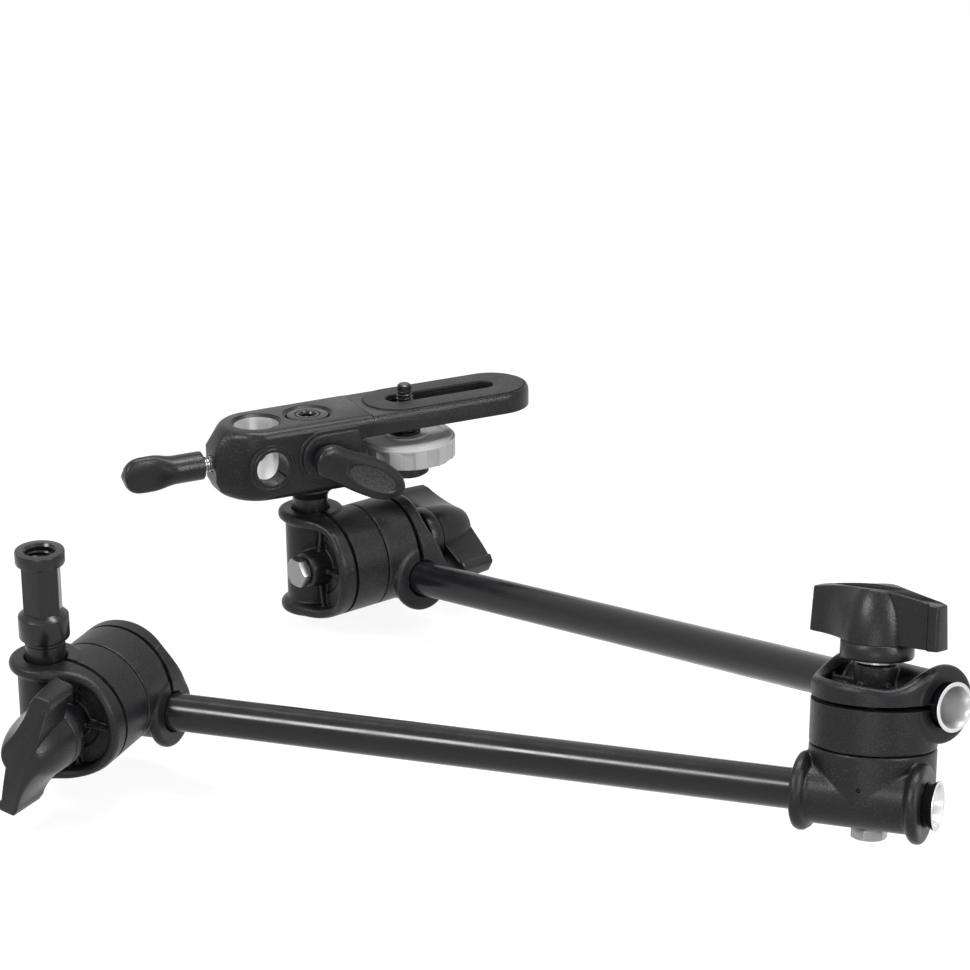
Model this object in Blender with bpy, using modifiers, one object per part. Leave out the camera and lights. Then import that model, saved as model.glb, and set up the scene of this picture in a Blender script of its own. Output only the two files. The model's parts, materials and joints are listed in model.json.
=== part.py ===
"""Articulating friction arm with a slotted camera bracket.

Two aluminium tubes are linked by three lockable disc joints. Each joint is a pair of moulded clamp
halves: a friction disc, a split loop that grips a rod, a through bolt and a wing knob. The first
joint grips a threaded stud, which a clamp or a stand holds. The last one grips a second stud, which
carries a die-cast bracket with a slot for the camera screw.

Units are metres. The origin is on the axis of the base stud, in the plane of its head, and +Z
points up along that axis. +X is the way the lower tube runs and +Y points away from the knob side.
"""

import math

import bmesh
import bpy
from mathutils import Matrix

# Fits
RUNNING_GAP = 0.0003        # between touching pieces
DISC_GAP = 0.0003           # between the two friction faces

# Tubes and rods
TUBE_RADIUS = 0.00635
TUBE_WALL = 0.0011
TUBE_FLARE_RADIUS = 0.0077
TUBE_FLARE_LENGTH = 0.0026
TUBE_OVERHANG = 0.0236      # tube end past the bolt axis
LOWER_SPAN = 0.2585         # bolt axis to bolt axis along the lower tube
UPPER_SPAN = 0.2638         # the same along the upper tube
STUD_SHANK_RADIUS = 0.0066

# Clamp halves
DISC_RADIUS = 0.0194
ROD_OFFSET = 0.0099         # bolt axis to rod axis, across the disc
ROD_HEIGHT = 0.0145         # friction face to rod axis
RIM_OVER_ROD = 0.0070        # heights of the cover's features above the rod axis
FLOOR_OVER_ROD = 0.0028
RIB_OVER_ROD = 0.0057
BOSS_OVER_ROD = 0.0107
RIM_WIDTH = 0.0031
FLOOR_STEP = 0.0008
BOSS_RADIUS = 0.0066
RIB_THICKNESS = 0.0016
RIB_ANGLES = (0.0, 80.0, -80.0)
LOOP_RADIUS = 0.0097
LOOP_HALF_LENGTH = 0.0200
BEAD_RADIUS = 0.0122
BEAD_WIDTH = 0.0048
SLIT_OUTER = 0.0013
SLIT_INNER = 0.0022

# Bolts, washers and wing knobs
BOLT_RADIUS = 0.0029
HEX_FLATS = 0.0100
HEX_HEIGHT = 0.0040
WASHER_RADIUS = 0.0068
WASHER_THICKNESS = 0.0010
COLLAR_RADIUS = 0.0113
COLLAR_HEIGHT = 0.0052
KNOB_HEIGHT = 0.0218
KNOB_TIP_DROP = 0.0028
WING_REACH = 0.0246
WING_THICKNESS = 0.0052
WING_END_THICKNESS = 0.0082
WING_END_LENGTH = 0.0052
CROWN_HALF_WIDTH = 0.0046
THREAD_ENGAGEMENT = 0.0120

# Base stud
HEAD_RADIUS = 0.0081
HEAD_HEIGHT = 0.0045
WAIST_FLATS = 0.0118
WAIST_LENGTH = 0.0178
BASE_COLLAR_RADIUS = 0.0083
BASE_COLLAR_HEIGHT = 0.0091
BASE_NECK = 0.0065
THREAD_RADIUS = 0.0042
THREAD_DEPTH = 0.0140
SHANK_TAIL = 0.0012         # shank end past the loop

# Bracket and its stud
BRACKET_WIDTH = 0.0294
BLOCK_HEIGHT = 0.0268
PLATFORM_THICKNESS = 0.0080
BLOCK_RIGHT = 0.0150
PLATFORM_REACH = 0.0900
SEAM_X = 0.0205
SEAM_DROP = 0.0004
SOCKET_RADIUS = 0.0082
SOCKET_X = -0.0204
SOCKET_CHAMFER = 0.0010
NOSE_X = -0.0384
NOSE_HALF_WIDTH = 0.0085
NOSE_TOP = 0.0054
NOSE_BOTTOM = 0.0185
CROSS_HOLE_RADIUS = 0.0062
CROSS_HOLE_DEPTH = 0.0137
MOUNT_STUD_RADIUS = 0.0079
STUD_RISE = 0.0568          # loop centre to the bracket's top face
STUD_COLLAR_RADIUS = 0.0083
STUD_COLLAR_HEIGHT = 0.0045
INSERT_THREAD_RADIUS = 0.0026
INSERT_THREAD_DEPTH = 0.0080
SLOT_START = 0.0330
SLOT_END_WALL = 0.0148       # platform's end to the slot
SLOT_WIDTH = 0.0074
PAD_START = 0.0232
PAD_MARGIN = 0.0014
PAD_THICKNESS = 0.0012
PAD_RECESS = 0.0010
PAD_SLOT_EXTRA = 0.0020

# Camera screw, its spacer and the lock wheel
SCREW_RADIUS = 0.00318
SCREW_RISE = 0.0053
SCREW_X = 0.0395
SPACER_RADIUS = 0.0078
SPACER_LENGTH = 0.0068
WHEEL_RADIUS = 0.0188
WHEEL_HEIGHT = 0.0076
WHEEL_SCALLOPS = 16
SCALLOP_DEPTH = 0.0007
GRIP_RADIUS = 0.0094
GRIP_HEIGHT = 0.0068

# Locking screws
LOCK_SCREW_RADIUS = 0.0029
END_SCREW_DEPTH = 0.0133
END_SCREW_EXPOSED = 0.0040
HANDLE_RADIUS = 0.0053
HANDLE_BARREL = 0.0085
HANDLE_LENGTH = 0.0300
PADDLE_HALF_WIDTH = 0.0068
PADDLE_THICKNESS = 0.0052
LEVER_DEPTH = 0.0124
LEVER_HUB_RADIUS = 0.0070
LEVER_HUB_LENGTH = 0.0080
LEVER_REACH = 0.0322
LEVER_HALF_WIDTH = 0.0072
LEVER_THICKNESS = 0.0058
LEVER_DROOP = -29.0
BOSS_PAD_RADIUS = 0.0090
BOSS_PAD_REACH = 0.0140
BOSS_PAD_RISE = 0.0020

# Rest pose, in degrees
BASE_RISE = 5.2             # lower tube above the horizontal
LOWER_TWIST = 14.7          # elbow axis leaning back about the lower tube
ELBOW_OPENING = 28.4        # between the two tubes
UPPER_TWIST = 9.4           # last joint about the upper tube
HEAD_TILT = -8.6            # bracket stud about the last bolt
BRACKET_TURN = 78.2         # bracket about its stud
BASE_KNOB_TURN = 75.0
ELBOW_KNOB_TURN = -78.0
HEAD_KNOB_TURN = -53.0

TURN_STEPS = 24
LOOP_STEPS = 16
SMALL_STEPS = 12


def clear_scene():
    """Remove every object of the scene."""
    for thing in list(bpy.data.objects):
        bpy.data.objects.remove(thing, do_unlink=True)


clear_scene()
ARM = bpy.data.collections.new("articulating_arm")
bpy.context.scene.collection.children.link(ARM)


def surface(name, colour, roughness, metallic=0.0):
    """A plain material with the finish of one kind of piece."""
    made = bpy.data.materials.new(name)
    made.use_nodes = True
    shader = made.node_tree.nodes["Principled BSDF"]
    shader.inputs["Base Color"].default_value = (*colour, 1.0)
    shader.inputs["Roughness"].default_value = roughness
    shader.inputs["Metallic"].default_value = metallic
    made.diffuse_color = (*colour, 1.0)
    return made


MOULDED = surface("moulded_black", (0.020, 0.020, 0.021), 0.52)
KNOB = surface("knob_black", (0.024, 0.024, 0.025), 0.42)
TUBE = surface("anodised_black", (0.012, 0.012, 0.013), 0.30, 0.4)
STEEL = surface("zinc_steel", (0.60, 0.60, 0.60), 0.30, 1.0)
BLACK_STEEL = surface("blackened_steel", (0.018, 0.018, 0.018), 0.28, 0.6)
CASTING = surface("painted_casting", (0.022, 0.022, 0.023), 0.55)
RUBBER = surface("textured_pad", (0.028, 0.028, 0.029), 0.80)
GREY = surface("grey_wheel", (0.36, 0.36, 0.36), 0.50)


def pivot(name, parent, at=(0, 0, 0), turn=(0, 0, 0)):
    """An empty that carries a joint's frame: place in its parent, then turn in degrees."""
    made = bpy.data.objects.new(name, None)
    made.empty_display_size = 0.01
    made.location = at
    made.rotation_euler = [math.radians(angle) for angle in turn]
    made.parent = parent
    ARM.objects.link(made)
    return made


def add_mesh(name, shape):
    """A mesh object made from a bmesh, in the arm's collection."""
    mesh = bpy.data.meshes.new(name)
    shape.to_mesh(mesh)
    shape.free()
    made = bpy.data.objects.new(name, mesh)
    ARM.objects.link(made)
    return made


def freeze(thing):
    """Replace the object's mesh with its evaluated one, and drop its modifiers."""
    bpy.context.view_layer.update()
    evaluated = thing.evaluated_get(bpy.context.evaluated_depsgraph_get())
    mesh = bpy.data.meshes.new_from_object(evaluated)
    thing.modifiers.clear()
    thing.data = mesh
    return thing


def combine(target, other, operation):
    """Join, cut or intersect one mesh with another, which is then removed."""
    modifier = target.modifiers.new(operation.lower(), "BOOLEAN")
    modifier.operation = operation
    modifier.object = other
    freeze(target)
    bpy.data.objects.remove(other, do_unlink=True)
    return target


def join(target, *others):
    """Union of the target with each of the others."""
    for other in others:
        combine(target, other, "UNION")
    return target


def cut(target, *others):
    """Target less each of the others."""
    for other in others:
        combine(target, other, "DIFFERENCE")
    return target


def turned(name, profile, steps=TURN_STEPS, ring=False):
    """Solid of revolution about Z. The profile of (radius, height) runs down its outer side."""
    shape = bmesh.new()
    points = [shape.verts.new((radius, 0, height)) for radius, height in profile]
    pairs = list(zip(points, points[1:]))
    if ring:
        pairs.append((points[-1], points[0]))
    for first, second in pairs:
        shape.edges.new((first, second))
    made = add_mesh(name, shape)
    screw = made.modifiers.new("turn", "SCREW")
    screw.steps = steps
    screw.render_steps = steps
    screw.use_merge_vertices = True
    screw.merge_threshold = 0.00001
    return freeze(made)


def rod(name, radius, low, high, steps=SMALL_STEPS, axis="Z", at=(0, 0, 0)):
    """Plain cylinder between two stations on an axis that passes through at."""
    shape = bmesh.new()
    bmesh.ops.create_cone(
        shape, cap_ends=True, segments=steps, radius1=radius, radius2=radius, depth=high - low
    )
    made = add_mesh(name, shape)
    made.data.transform(Matrix.Translation((0, 0, (low + high) / 2)))
    return lay(made, axis, at)


def lay(thing, axis, at=(0, 0, 0)):
    """Turn a shape that was made about Z onto another axis, then move it."""
    turn = {"X": Matrix.Rotation(math.pi / 2, 4, "Y"), "Y": Matrix.Rotation(-math.pi / 2, 4, "X")}
    if axis in turn:
        thing.data.transform(turn[axis])
    thing.data.transform(Matrix.Translation(at))
    return thing


def block(name, low, high):
    """Box between two corners."""
    shape = bmesh.new()
    bmesh.ops.create_cube(shape, size=1.0)
    size = [b - a for a, b in zip(low, high)]
    middle = [(a + b) / 2 for a, b in zip(low, high)]
    bmesh.ops.scale(shape, vec=size, verts=shape.verts)
    bmesh.ops.translate(shape, vec=middle, verts=shape.verts)
    return add_mesh(name, shape)


def plate(name, outline, thickness, bevel=0.0):
    """A flat outline in XY as a filled 2D curve, extruded half its thickness both ways."""
    curve = bpy.data.curves.new(name, "CURVE")
    curve.dimensions = "2D"
    curve.fill_mode = "BOTH"
    curve.extrude = thickness / 2
    spline = curve.splines.new("POLY")
    spline.points.add(len(outline) - 1)
    for point, (x, y) in zip(spline.points, outline):
        point.co = (x, y, 0, 1)
    spline.use_cyclic_u = True
    flat = bpy.data.objects.new(name, curve)
    ARM.objects.link(flat)
    bpy.context.view_layer.update()
    mesh = bpy.data.meshes.new_from_object(
        flat.evaluated_get(bpy.context.evaluated_depsgraph_get())
    )
    bpy.data.objects.remove(flat, do_unlink=True)
    shape = bmesh.new()
    shape.from_mesh(mesh)
    bmesh.ops.remove_doubles(shape, verts=shape.verts, dist=0.000002)
    bmesh.ops.dissolve_limit(
        shape, angle_limit=0.01, verts=shape.verts, edges=shape.edges, delimit=set()
    )
    bmesh.ops.recalc_face_normals(shape, faces=shape.faces)
    made = add_mesh(name, shape)
    if bevel > 0:
        rounding = made.modifiers.new("edges", "BEVEL")
        rounding.width = bevel
        rounding.segments = 1
        rounding.limit_method = "ANGLE"
        rounding.angle_limit = math.radians(60)
        freeze(made)
    return made


def standing(thing, depth=0.0):
    """Stand a plate up: its outline's Y becomes height Z, and its thickness lies along Y."""
    thing.data.transform(Matrix.Rotation(math.pi / 2, 4, "X"))
    thing.data.transform(Matrix.Translation((0, depth, 0)))
    return thing


def arc(centre, radius, start, end, steps):
    """Points on an arc, both ends included, angles in degrees."""
    angles = [math.radians(start + (end - start) * i / steps) for i in range(steps + 1)]
    return [(centre[0] + radius * math.cos(a), centre[1] + radius * math.sin(a)) for a in angles]


def finish(thing, name, material, parent, at=(0, 0, 0), turn=(0, 0, 0)):
    """Name, material, shading and place of a finished piece, its flat faces made whole."""
    shape = bmesh.new()
    shape.from_mesh(thing.data)
    bmesh.ops.dissolve_limit(
        shape, angle_limit=math.radians(0.2), verts=shape.verts, edges=shape.edges, delimit=set()
    )
    shape.to_mesh(thing.data)
    shape.free()
    thing.name = name
    thing.data.name = name
    thing.data.materials.clear()
    thing.data.materials.append(material)
    thing.data.shade_smooth()
    thing.data.set_sharp_from_angle(angle=math.radians(32))
    thing.parent = parent
    thing.location = at
    thing.rotation_euler = [math.radians(angle) for angle in turn]
    return thing


# Heights above a friction face that several pieces share
FACE = DISC_GAP / 2
RIM_HEIGHT = ROD_HEIGHT + RIM_OVER_ROD
FLOOR_HEIGHT = ROD_HEIGHT + FLOOR_OVER_ROD
RIB_HEIGHT = ROD_HEIGHT + RIB_OVER_ROD
BOSS_HEIGHT = ROD_HEIGHT + BOSS_OVER_ROD
WASHER_SEAT = BOSS_HEIGHT + RUNNING_GAP
KNOB_SEAT = WASHER_SEAT + WASHER_THICKNESS + RUNNING_GAP


def loop_profile():
    """Outer profile of the loop: a tube with a rounded bead at each end."""
    half = LOOP_HALF_LENGTH
    inner = half - BEAD_WIDTH
    bead = [
        (BEAD_RADIUS - 0.0014, half),
        (BEAD_RADIUS, half - 0.0014),
        (BEAD_RADIUS - 0.0003, half - 0.0030),
        (LOOP_RADIUS, inner),
    ]
    lower = [(radius, -height) for radius, height in reversed(bead)]
    return [(0, half), *bead, *lower, (0, -half)]


def saddle(name, side):
    """The bead's S-shaped run down to the cover's rim, at one end of the loop."""
    top = ROD_HEIGHT + BEAD_RADIUS
    rise = top - RIM_HEIGHT
    reach = ROD_OFFSET + 0.0045
    steps = 5
    curve = []
    for i in range(steps + 1):
        share = i / steps
        fall = (1 - math.cos(math.pi * share)) / 2
        curve.append((-ROD_OFFSET + reach * share, top - 0.0001 - rise * fall))
    base = ROD_HEIGHT + SLIT_OUTER
    outline = [*curve, (curve[-1][0], base), (-ROD_OFFSET, base)]
    width = BEAD_WIDTH - 0.0010
    middle = LOOP_HALF_LENGTH - 0.0005 - width / 2
    return standing(plate(name, outline, width), side * middle)


def clamp_half(rod_radius):
    """One moulded half: disc, split loop and ribbed cover, with its rod along Y.

    The friction face looks down at z = 0, the bolt runs along Z and the rod lies at
    x = -ROD_OFFSET, z = ROD_HEIGHT. Only the loop's outer wall joins the disc to its cover.
    """
    inner = DISC_RADIUS - RIM_WIDTH
    body = turned(
        "half",
        [
            (0, BOSS_HEIGHT),
            (BOSS_RADIUS - 0.0005, BOSS_HEIGHT),
            (BOSS_RADIUS, BOSS_HEIGHT - 0.0005),
            (BOSS_RADIUS, FLOOR_HEIGHT - FLOOR_STEP),
            (BOSS_RADIUS + 0.0036, FLOOR_HEIGHT - FLOOR_STEP),
            (BOSS_RADIUS + 0.0042, FLOOR_HEIGHT),
            (inner - 0.0002, FLOOR_HEIGHT),
            (inner + 0.0005, RIM_HEIGHT),
            (DISC_RADIUS - 0.0011, RIM_HEIGHT),
            (DISC_RADIUS, RIM_HEIGHT - 0.0013),
            (DISC_RADIUS, FACE),
            (0, FACE),
        ],
    )
    axis = (-ROD_OFFSET, 0, ROD_HEIGHT)
    join(body, lay(turned("loop", loop_profile(), LOOP_STEPS), "Y", axis))
    join(body, saddle("saddle", 1), saddle("saddle", -1))
    for angle in RIB_ANGLES:
        rib = block(
            "rib",
            (BOSS_RADIUS - 0.0006, -RIB_THICKNESS / 2, FLOOR_HEIGHT - FLOOR_STEP - 0.0004),
            (inner + 0.0008, RIB_THICKNESS / 2, RIB_HEIGHT),
        )
        rib.data.transform(Matrix.Rotation(math.radians(angle), 4, "Z"))
        join(body, rib)
    reach = DISC_RADIUS + 0.004
    wedge = [
        (-ROD_OFFSET, -SLIT_INNER / 2),
        (reach, -SLIT_OUTER / 2),
        (reach, SLIT_OUTER / 2),
        (-ROD_OFFSET, SLIT_INNER / 2),
    ]
    slit = standing(plate("slit", wedge, 3 * LOOP_HALF_LENGTH))
    slit.data.transform(Matrix.Translation((0, 0, ROD_HEIGHT)))
    half = LOOP_HALF_LENGTH + 0.002
    bore = rod("bore", rod_radius + RUNNING_GAP, -half, half, LOOP_STEPS, "Y", axis)
    hole = rod("hole", BOLT_RADIUS + RUNNING_GAP, -0.002, BOSS_HEIGHT + 0.002)
    return cut(body, slit, bore, hole)


def tube(span):
    """Hollow tube along Y with a flared mouth at each end, past the loops at 0 and span."""
    inside = TUBE_RADIUS - TUBE_WALL
    flare = TUBE_FLARE_RADIUS - TUBE_RADIUS
    start, end = -TUBE_OVERHANG, span + TUBE_OVERHANG
    straight = TUBE_FLARE_LENGTH
    shape = turned(
        "tube",
        [
            (inside + flare, end),
            (TUBE_FLARE_RADIUS, end),
            (TUBE_RADIUS, end - straight),
            (TUBE_RADIUS, start + straight),
            (TUBE_FLARE_RADIUS, start),
            (inside + flare, start),
            (inside, start + straight + 0.0004),
            (inside, end - straight - 0.0004),
        ],
        LOOP_STEPS,
        ring=True,
    )
    return lay(shape, "Y")


def hex_prism(name, flats, low, high):
    """Hexagonal bar along Z with the given size across its flats."""
    return rod(name, flats / math.sqrt(3), low, high, steps=6)


def clamp_bolt():
    """Hexagon bolt: head under the half that holds it, shank through both halves into the knob."""
    head = hex_prism("head", HEX_FLATS, WASHER_SEAT, WASHER_SEAT + HEX_HEIGHT)
    crown = turned(
        "crown",
        [
            (0, WASHER_SEAT + HEX_HEIGHT + 0.0001),
            (HEX_FLATS * 0.47, WASHER_SEAT + HEX_HEIGHT + 0.0001),
            (HEX_FLATS * 0.60, WASHER_SEAT + HEX_HEIGHT - 0.0006),
            (HEX_FLATS * 0.60, WASHER_SEAT - 0.0001),
            (0, WASHER_SEAT - 0.0001),
        ],
        18,
    )
    combine(head, crown, "INTERSECT")
    end = -(KNOB_SEAT + THREAD_ENGAGEMENT)
    return join(head, rod("shank", BOLT_RADIUS, end, WASHER_SEAT + 0.001))


def washer():
    """Plain washer between a boss and its knob."""
    low, high = WASHER_SEAT, WASHER_SEAT + WASHER_THICKNESS
    inner = BOLT_RADIUS + RUNNING_GAP
    return turned(
        "washer",
        [(WASHER_RADIUS, high), (WASHER_RADIUS, low), (inner, low), (inner, high)],
        20,
        ring=True,
    )


def wing_outline():
    """Plan of both wings: each has one flat side with a thicker end, and one hollow side."""
    tip = WING_REACH
    end = tip - WING_END_LENGTH
    flat = -WING_THICKNESS * 0.42
    post = -WING_END_THICKNESS * 0.52
    back = WING_END_THICKNESS * 0.42
    side = [(0.0030, flat), (end - 0.0016, flat), (end, post), (tip - 0.0009, post)]
    side += [(tip, post + 0.0011), (tip, back - 0.0010), (tip - 0.0012, back)]
    steps = 4
    for i in range(1, steps + 1):
        share = i / steps
        x = (tip - 0.0012) * (1 - share) + 0.0040 * share
        y = back + (COLLAR_RADIUS - 0.0008 - back) * share**2.2
        side.append((x, y))
    return side + [(-x, -y) for x, y in side]


def wing_knob():
    """Wing knob on a round collar, with a blind thread from below. Its seat is at KNOB_SEAT."""
    low = KNOB_SEAT
    top = low + KNOB_HEIGHT
    shoulder = low + COLLAR_HEIGHT
    rise = top - shoulder
    body = turned(
        "knob",
        [
            (0, top - 0.0010),
            (CROWN_HALF_WIDTH * 0.9, top - 0.0012),
            (CROWN_HALF_WIDTH * 1.35, top - rise * 0.22),
            (COLLAR_RADIUS * 0.80, top - rise * 0.50),
            (COLLAR_RADIUS * 0.95, top - rise * 0.80),
            (COLLAR_RADIUS - 0.0002, shoulder),
            (COLLAR_RADIUS, shoulder - 0.0003),
            (COLLAR_RADIUS, low + 0.0008),
            (COLLAR_RADIUS - 0.0008, low),
            (0, low),
        ],
    )
    wings = plate("wings", wing_outline(), rise)
    wings.data.transform(Matrix.Translation((0, 0, shoulder + rise / 2)))
    for vertex in wings.data.vertices:
        if vertex.co.z < top - 0.001:
            continue
        share = min(abs(vertex.co.x) / WING_REACH, 1.0)
        vertex.co.z = top - KNOB_TIP_DROP * share**1.5
        limit = CROWN_HALF_WIDTH + (WING_END_THICKNESS * 0.48 - CROWN_HALF_WIDTH) * share
        vertex.co.y = max(-limit, min(limit, vertex.co.y * 0.92))
    rounding = wings.modifiers.new("edges", "BEVEL")
    rounding.width = 0.0007
    rounding.segments = 1
    rounding.limit_method = "ANGLE"
    rounding.angle_limit = math.radians(55)
    freeze(wings)
    join(body, wings)
    depth = THREAD_ENGAGEMENT + RUNNING_GAP
    hole = rod("hole", BOLT_RADIUS + RUNNING_GAP, low - 0.001, low + depth)
    dimple = rod("dimple", 0.0009, top - 0.0012, top + 0.001, 10)
    return cut(body, hole, dimple)


def base_stud():
    """Stud that a clamp or a stand holds: threaded head, hexagonal waist, collar and shank."""
    waist_low = -HEAD_HEIGHT - WAIST_LENGTH
    collar_low = waist_low - BASE_COLLAR_HEIGHT
    end = BASE_DROP + LOOP_HALF_LENGTH + SHANK_TAIL
    body = turned(
        "stud",
        [
            (0, waist_low + 0.0004),
            (WAIST_FLATS / 2, waist_low + 0.0004),
            (BASE_COLLAR_RADIUS - 0.0007, waist_low),
            (BASE_COLLAR_RADIUS, waist_low - 0.0007),
            (BASE_COLLAR_RADIUS, collar_low + 0.0007),
            (BASE_COLLAR_RADIUS - 0.0008, collar_low),
            (STUD_SHANK_RADIUS, collar_low - 0.0004),
            (STUD_SHANK_RADIUS, -end + 0.0006),
            (STUD_SHANK_RADIUS - 0.0006, -end),
            (0, -end),
        ],
    )
    waist = hex_prism("waist", WAIST_FLATS, waist_low - 0.0010, -HEAD_HEIGHT + 0.0010)
    head = turned(
        "head",
        [
            (0, 0),
            (HEAD_RADIUS - 0.0005, 0),
            (HEAD_RADIUS, -0.0005),
            (HEAD_RADIUS, -HEAD_HEIGHT + 0.0006),
            (HEAD_RADIUS - 0.0006, -HEAD_HEIGHT),
            (0, -HEAD_HEIGHT),
        ],
    )
    join(body, waist, head)
    return cut(body, threaded_hole(THREAD_RADIUS, THREAD_DEPTH, 0))


def threaded_hole(radius, depth, top):
    """Blind hole from a face at height top, with a countersunk mouth and a drilled end."""
    return turned(
        "thread",
        [
            (0, top + 0.001),
            (radius + 0.0018, top + 0.001),
            (radius + 0.0009, top + 0.0001),
            (radius, top - 0.0009),
            (radius, top - depth),
            (0, top - depth - radius * 0.5),
        ],
        SMALL_STEPS,
    )


def bracket_stud():
    """Stud under the bracket, made about its own axis with the bracket's top face at z = 0."""
    collar_top = -BLOCK_HEIGHT - RUNNING_GAP
    collar_low = collar_top - STUD_COLLAR_HEIGHT
    end = -STUD_RISE - LOOP_HALF_LENGTH - SHANK_TAIL
    body = turned(
        "stud",
        [
            (0, -0.0003),
            (MOUNT_STUD_RADIUS - 0.0008, -0.0003),
            (MOUNT_STUD_RADIUS, -0.0011),
            (MOUNT_STUD_RADIUS, collar_top - 0.0004),
            (STUD_COLLAR_RADIUS + SOCKET_RADIUS * 0.06, collar_top),
            (STUD_COLLAR_RADIUS + SOCKET_RADIUS * 0.06, collar_low + 0.0016),
            (STUD_SHANK_RADIUS + 0.0003, collar_low),
            (STUD_SHANK_RADIUS, collar_low - 0.0005),
            (STUD_SHANK_RADIUS, end + 0.0006),
            (STUD_SHANK_RADIUS - 0.0006, end),
            (0, end),
        ],
    )
    return cut(body, threaded_hole(INSERT_THREAD_RADIUS, INSERT_THREAD_DEPTH, -0.0003))


def stadium(start, end, radius, steps=8):
    """Outline with a round end at each side, given its two outermost points on X."""
    left = arc((start + radius, 0), radius, 90, 270, steps)
    right = arc((end - radius, 0), radius, -90, 90, steps)
    return left + right


def bracket_body():
    """Die-cast bracket: a deep block with two sockets, and a thin platform with a slot.

    Its plan and its side view are two extrusions whose common part is the raw casting.
    """
    half = BRACKET_WIDTH / 2
    round_left = arc((SOCKET_X, 0), half, 90, 128, 4)
    flat_left = [(NOSE_X, NOSE_HALF_WIDTH), (NOSE_X, -NOSE_HALF_WIDTH)]
    round_left_back = [(x, -y) for x, y in reversed(round_left)]
    round_right = arc((PLATFORM_REACH - half, 0), half, -90, 90, 14)
    plan = plate("plan", round_left + flat_left + round_left_back + round_right, 0.08)
    corner = 0.0045
    side_view = [
        (PLATFORM_REACH + 0.001, 0),
        (PLATFORM_REACH + 0.001, -PLATFORM_THICKNESS),
        (BLOCK_RIGHT + corner, -PLATFORM_THICKNESS),
        *arc((BLOCK_RIGHT + 0.0020, -PLATFORM_THICKNESS - 0.0020), 0.0020, 90, 180, 3),
        *[
            (x, y)
            for x, y in arc((BLOCK_RIGHT - corner, -BLOCK_HEIGHT + corner), corner, 0, -90, 4)
        ],
        (SOCKET_X - 0.0115, -BLOCK_HEIGHT),
        (NOSE_X + 0.0008, -NOSE_BOTTOM - 0.0010),
        (NOSE_X - 0.001, -NOSE_BOTTOM + 0.0010),
        (NOSE_X - 0.001, -NOSE_TOP),
        (NOSE_X, -NOSE_TOP + 0.0004),
        (SOCKET_X - half + 0.0002, 0),
    ]
    side = standing(plate("side", side_view, 2 * BRACKET_WIDTH))
    body = combine(plan, side, "INTERSECT")
    rounding = body.modifiers.new("edges", "BEVEL")
    rounding.width = 0.0009
    rounding.segments = 2
    rounding.limit_method = "ANGLE"
    rounding.angle_limit = math.radians(50)
    freeze(body)
    join(body, lever_boss())
    for x in (SOCKET_X, 0):
        cut(body, socket_cutter(x))
    lever_hole = LOCK_SCREW_RADIUS + RUNNING_GAP
    cut(
        body,
        rod("cross", CROSS_HOLE_RADIUS, -half - 0.002, half + 0.002, 24, "Y",
            (SOCKET_X, 0, -CROSS_HOLE_DEPTH)),
        rod("end_thread", lever_hole, NOSE_X - 0.002, SOCKET_X, 16, "X",
            (0, 0, -END_SCREW_DEPTH)),
        rod("side_thread", lever_hole, -half - BOSS_PAD_RISE - 0.002, -0.001, 16, "Y",
            (0, 0, -LEVER_DEPTH)),
        block("lowered", (SEAM_X, -half - 0.001, -SEAM_DROP),
              (PLATFORM_REACH + 0.002, half + 0.001, 0.002)),
    )
    recess_radius = half - PAD_MARGIN
    recess = plate("recess", stadium(PAD_START, PLATFORM_REACH - PAD_MARGIN, recess_radius), 0.01)
    recess.data.transform(Matrix.Translation((0, 0, 0.005 - SEAM_DROP - PAD_RECESS)))
    slot = plate("slot", stadium(SLOT_START, SLOT_END, SLOT_WIDTH / 2, 6), 0.03)
    return cut(body, recess, slot)


def socket_cutter(x):
    """Upright through socket with a chamfer at its top mouth."""
    low = -BLOCK_HEIGHT - 0.002
    mouth = SOCKET_RADIUS + SOCKET_CHAMFER
    made = turned(
        "socket",
        [
            (0, 0.001),
            (mouth, 0.001),
            (mouth, -0.0001),
            (SOCKET_RADIUS, -0.0001 - SOCKET_CHAMFER * 0.6),
            (SOCKET_RADIUS, low),
            (0, low),
        ],
    )
    return lay(made, "Z", (x, 0, 0))


def lever_boss():
    """Raised pad round the side thread: round towards the sockets, square towards the platform."""
    radius = BOSS_PAD_RADIUS
    outline = arc((0, -LEVER_DEPTH), radius, 90, 270, 10)
    outline += [(BOSS_PAD_REACH, -LEVER_DEPTH - radius), (BOSS_PAD_REACH, -LEVER_DEPTH + radius)]
    thickness = BOSS_PAD_RISE + 0.002
    made = plate("boss", outline, thickness, 0.0006)
    return standing(made, -BRACKET_WIDTH / 2 - BOSS_PAD_RISE + thickness / 2)


def anti_slip_pad():
    """Textured pad in the platform's recess, with a slot wider than the one below it."""
    inset = PAD_MARGIN + RUNNING_GAP
    radius = BRACKET_WIDTH / 2 - inset
    made = plate(
        "pad", stadium(PAD_START + RUNNING_GAP, PLATFORM_REACH - inset, radius), PAD_THICKNESS
    )
    extra = PAD_SLOT_EXTRA / 2
    opening = plate(
        "opening", stadium(SLOT_START - extra, SLOT_END + extra, SLOT_WIDTH / 2 + extra, 6), 0.01
    )
    cut(made, opening)
    low = -SEAM_DROP - PAD_RECESS + RUNNING_GAP
    made.data.transform(Matrix.Translation((0, 0, low + PAD_THICKNESS / 2)))
    return made


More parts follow.
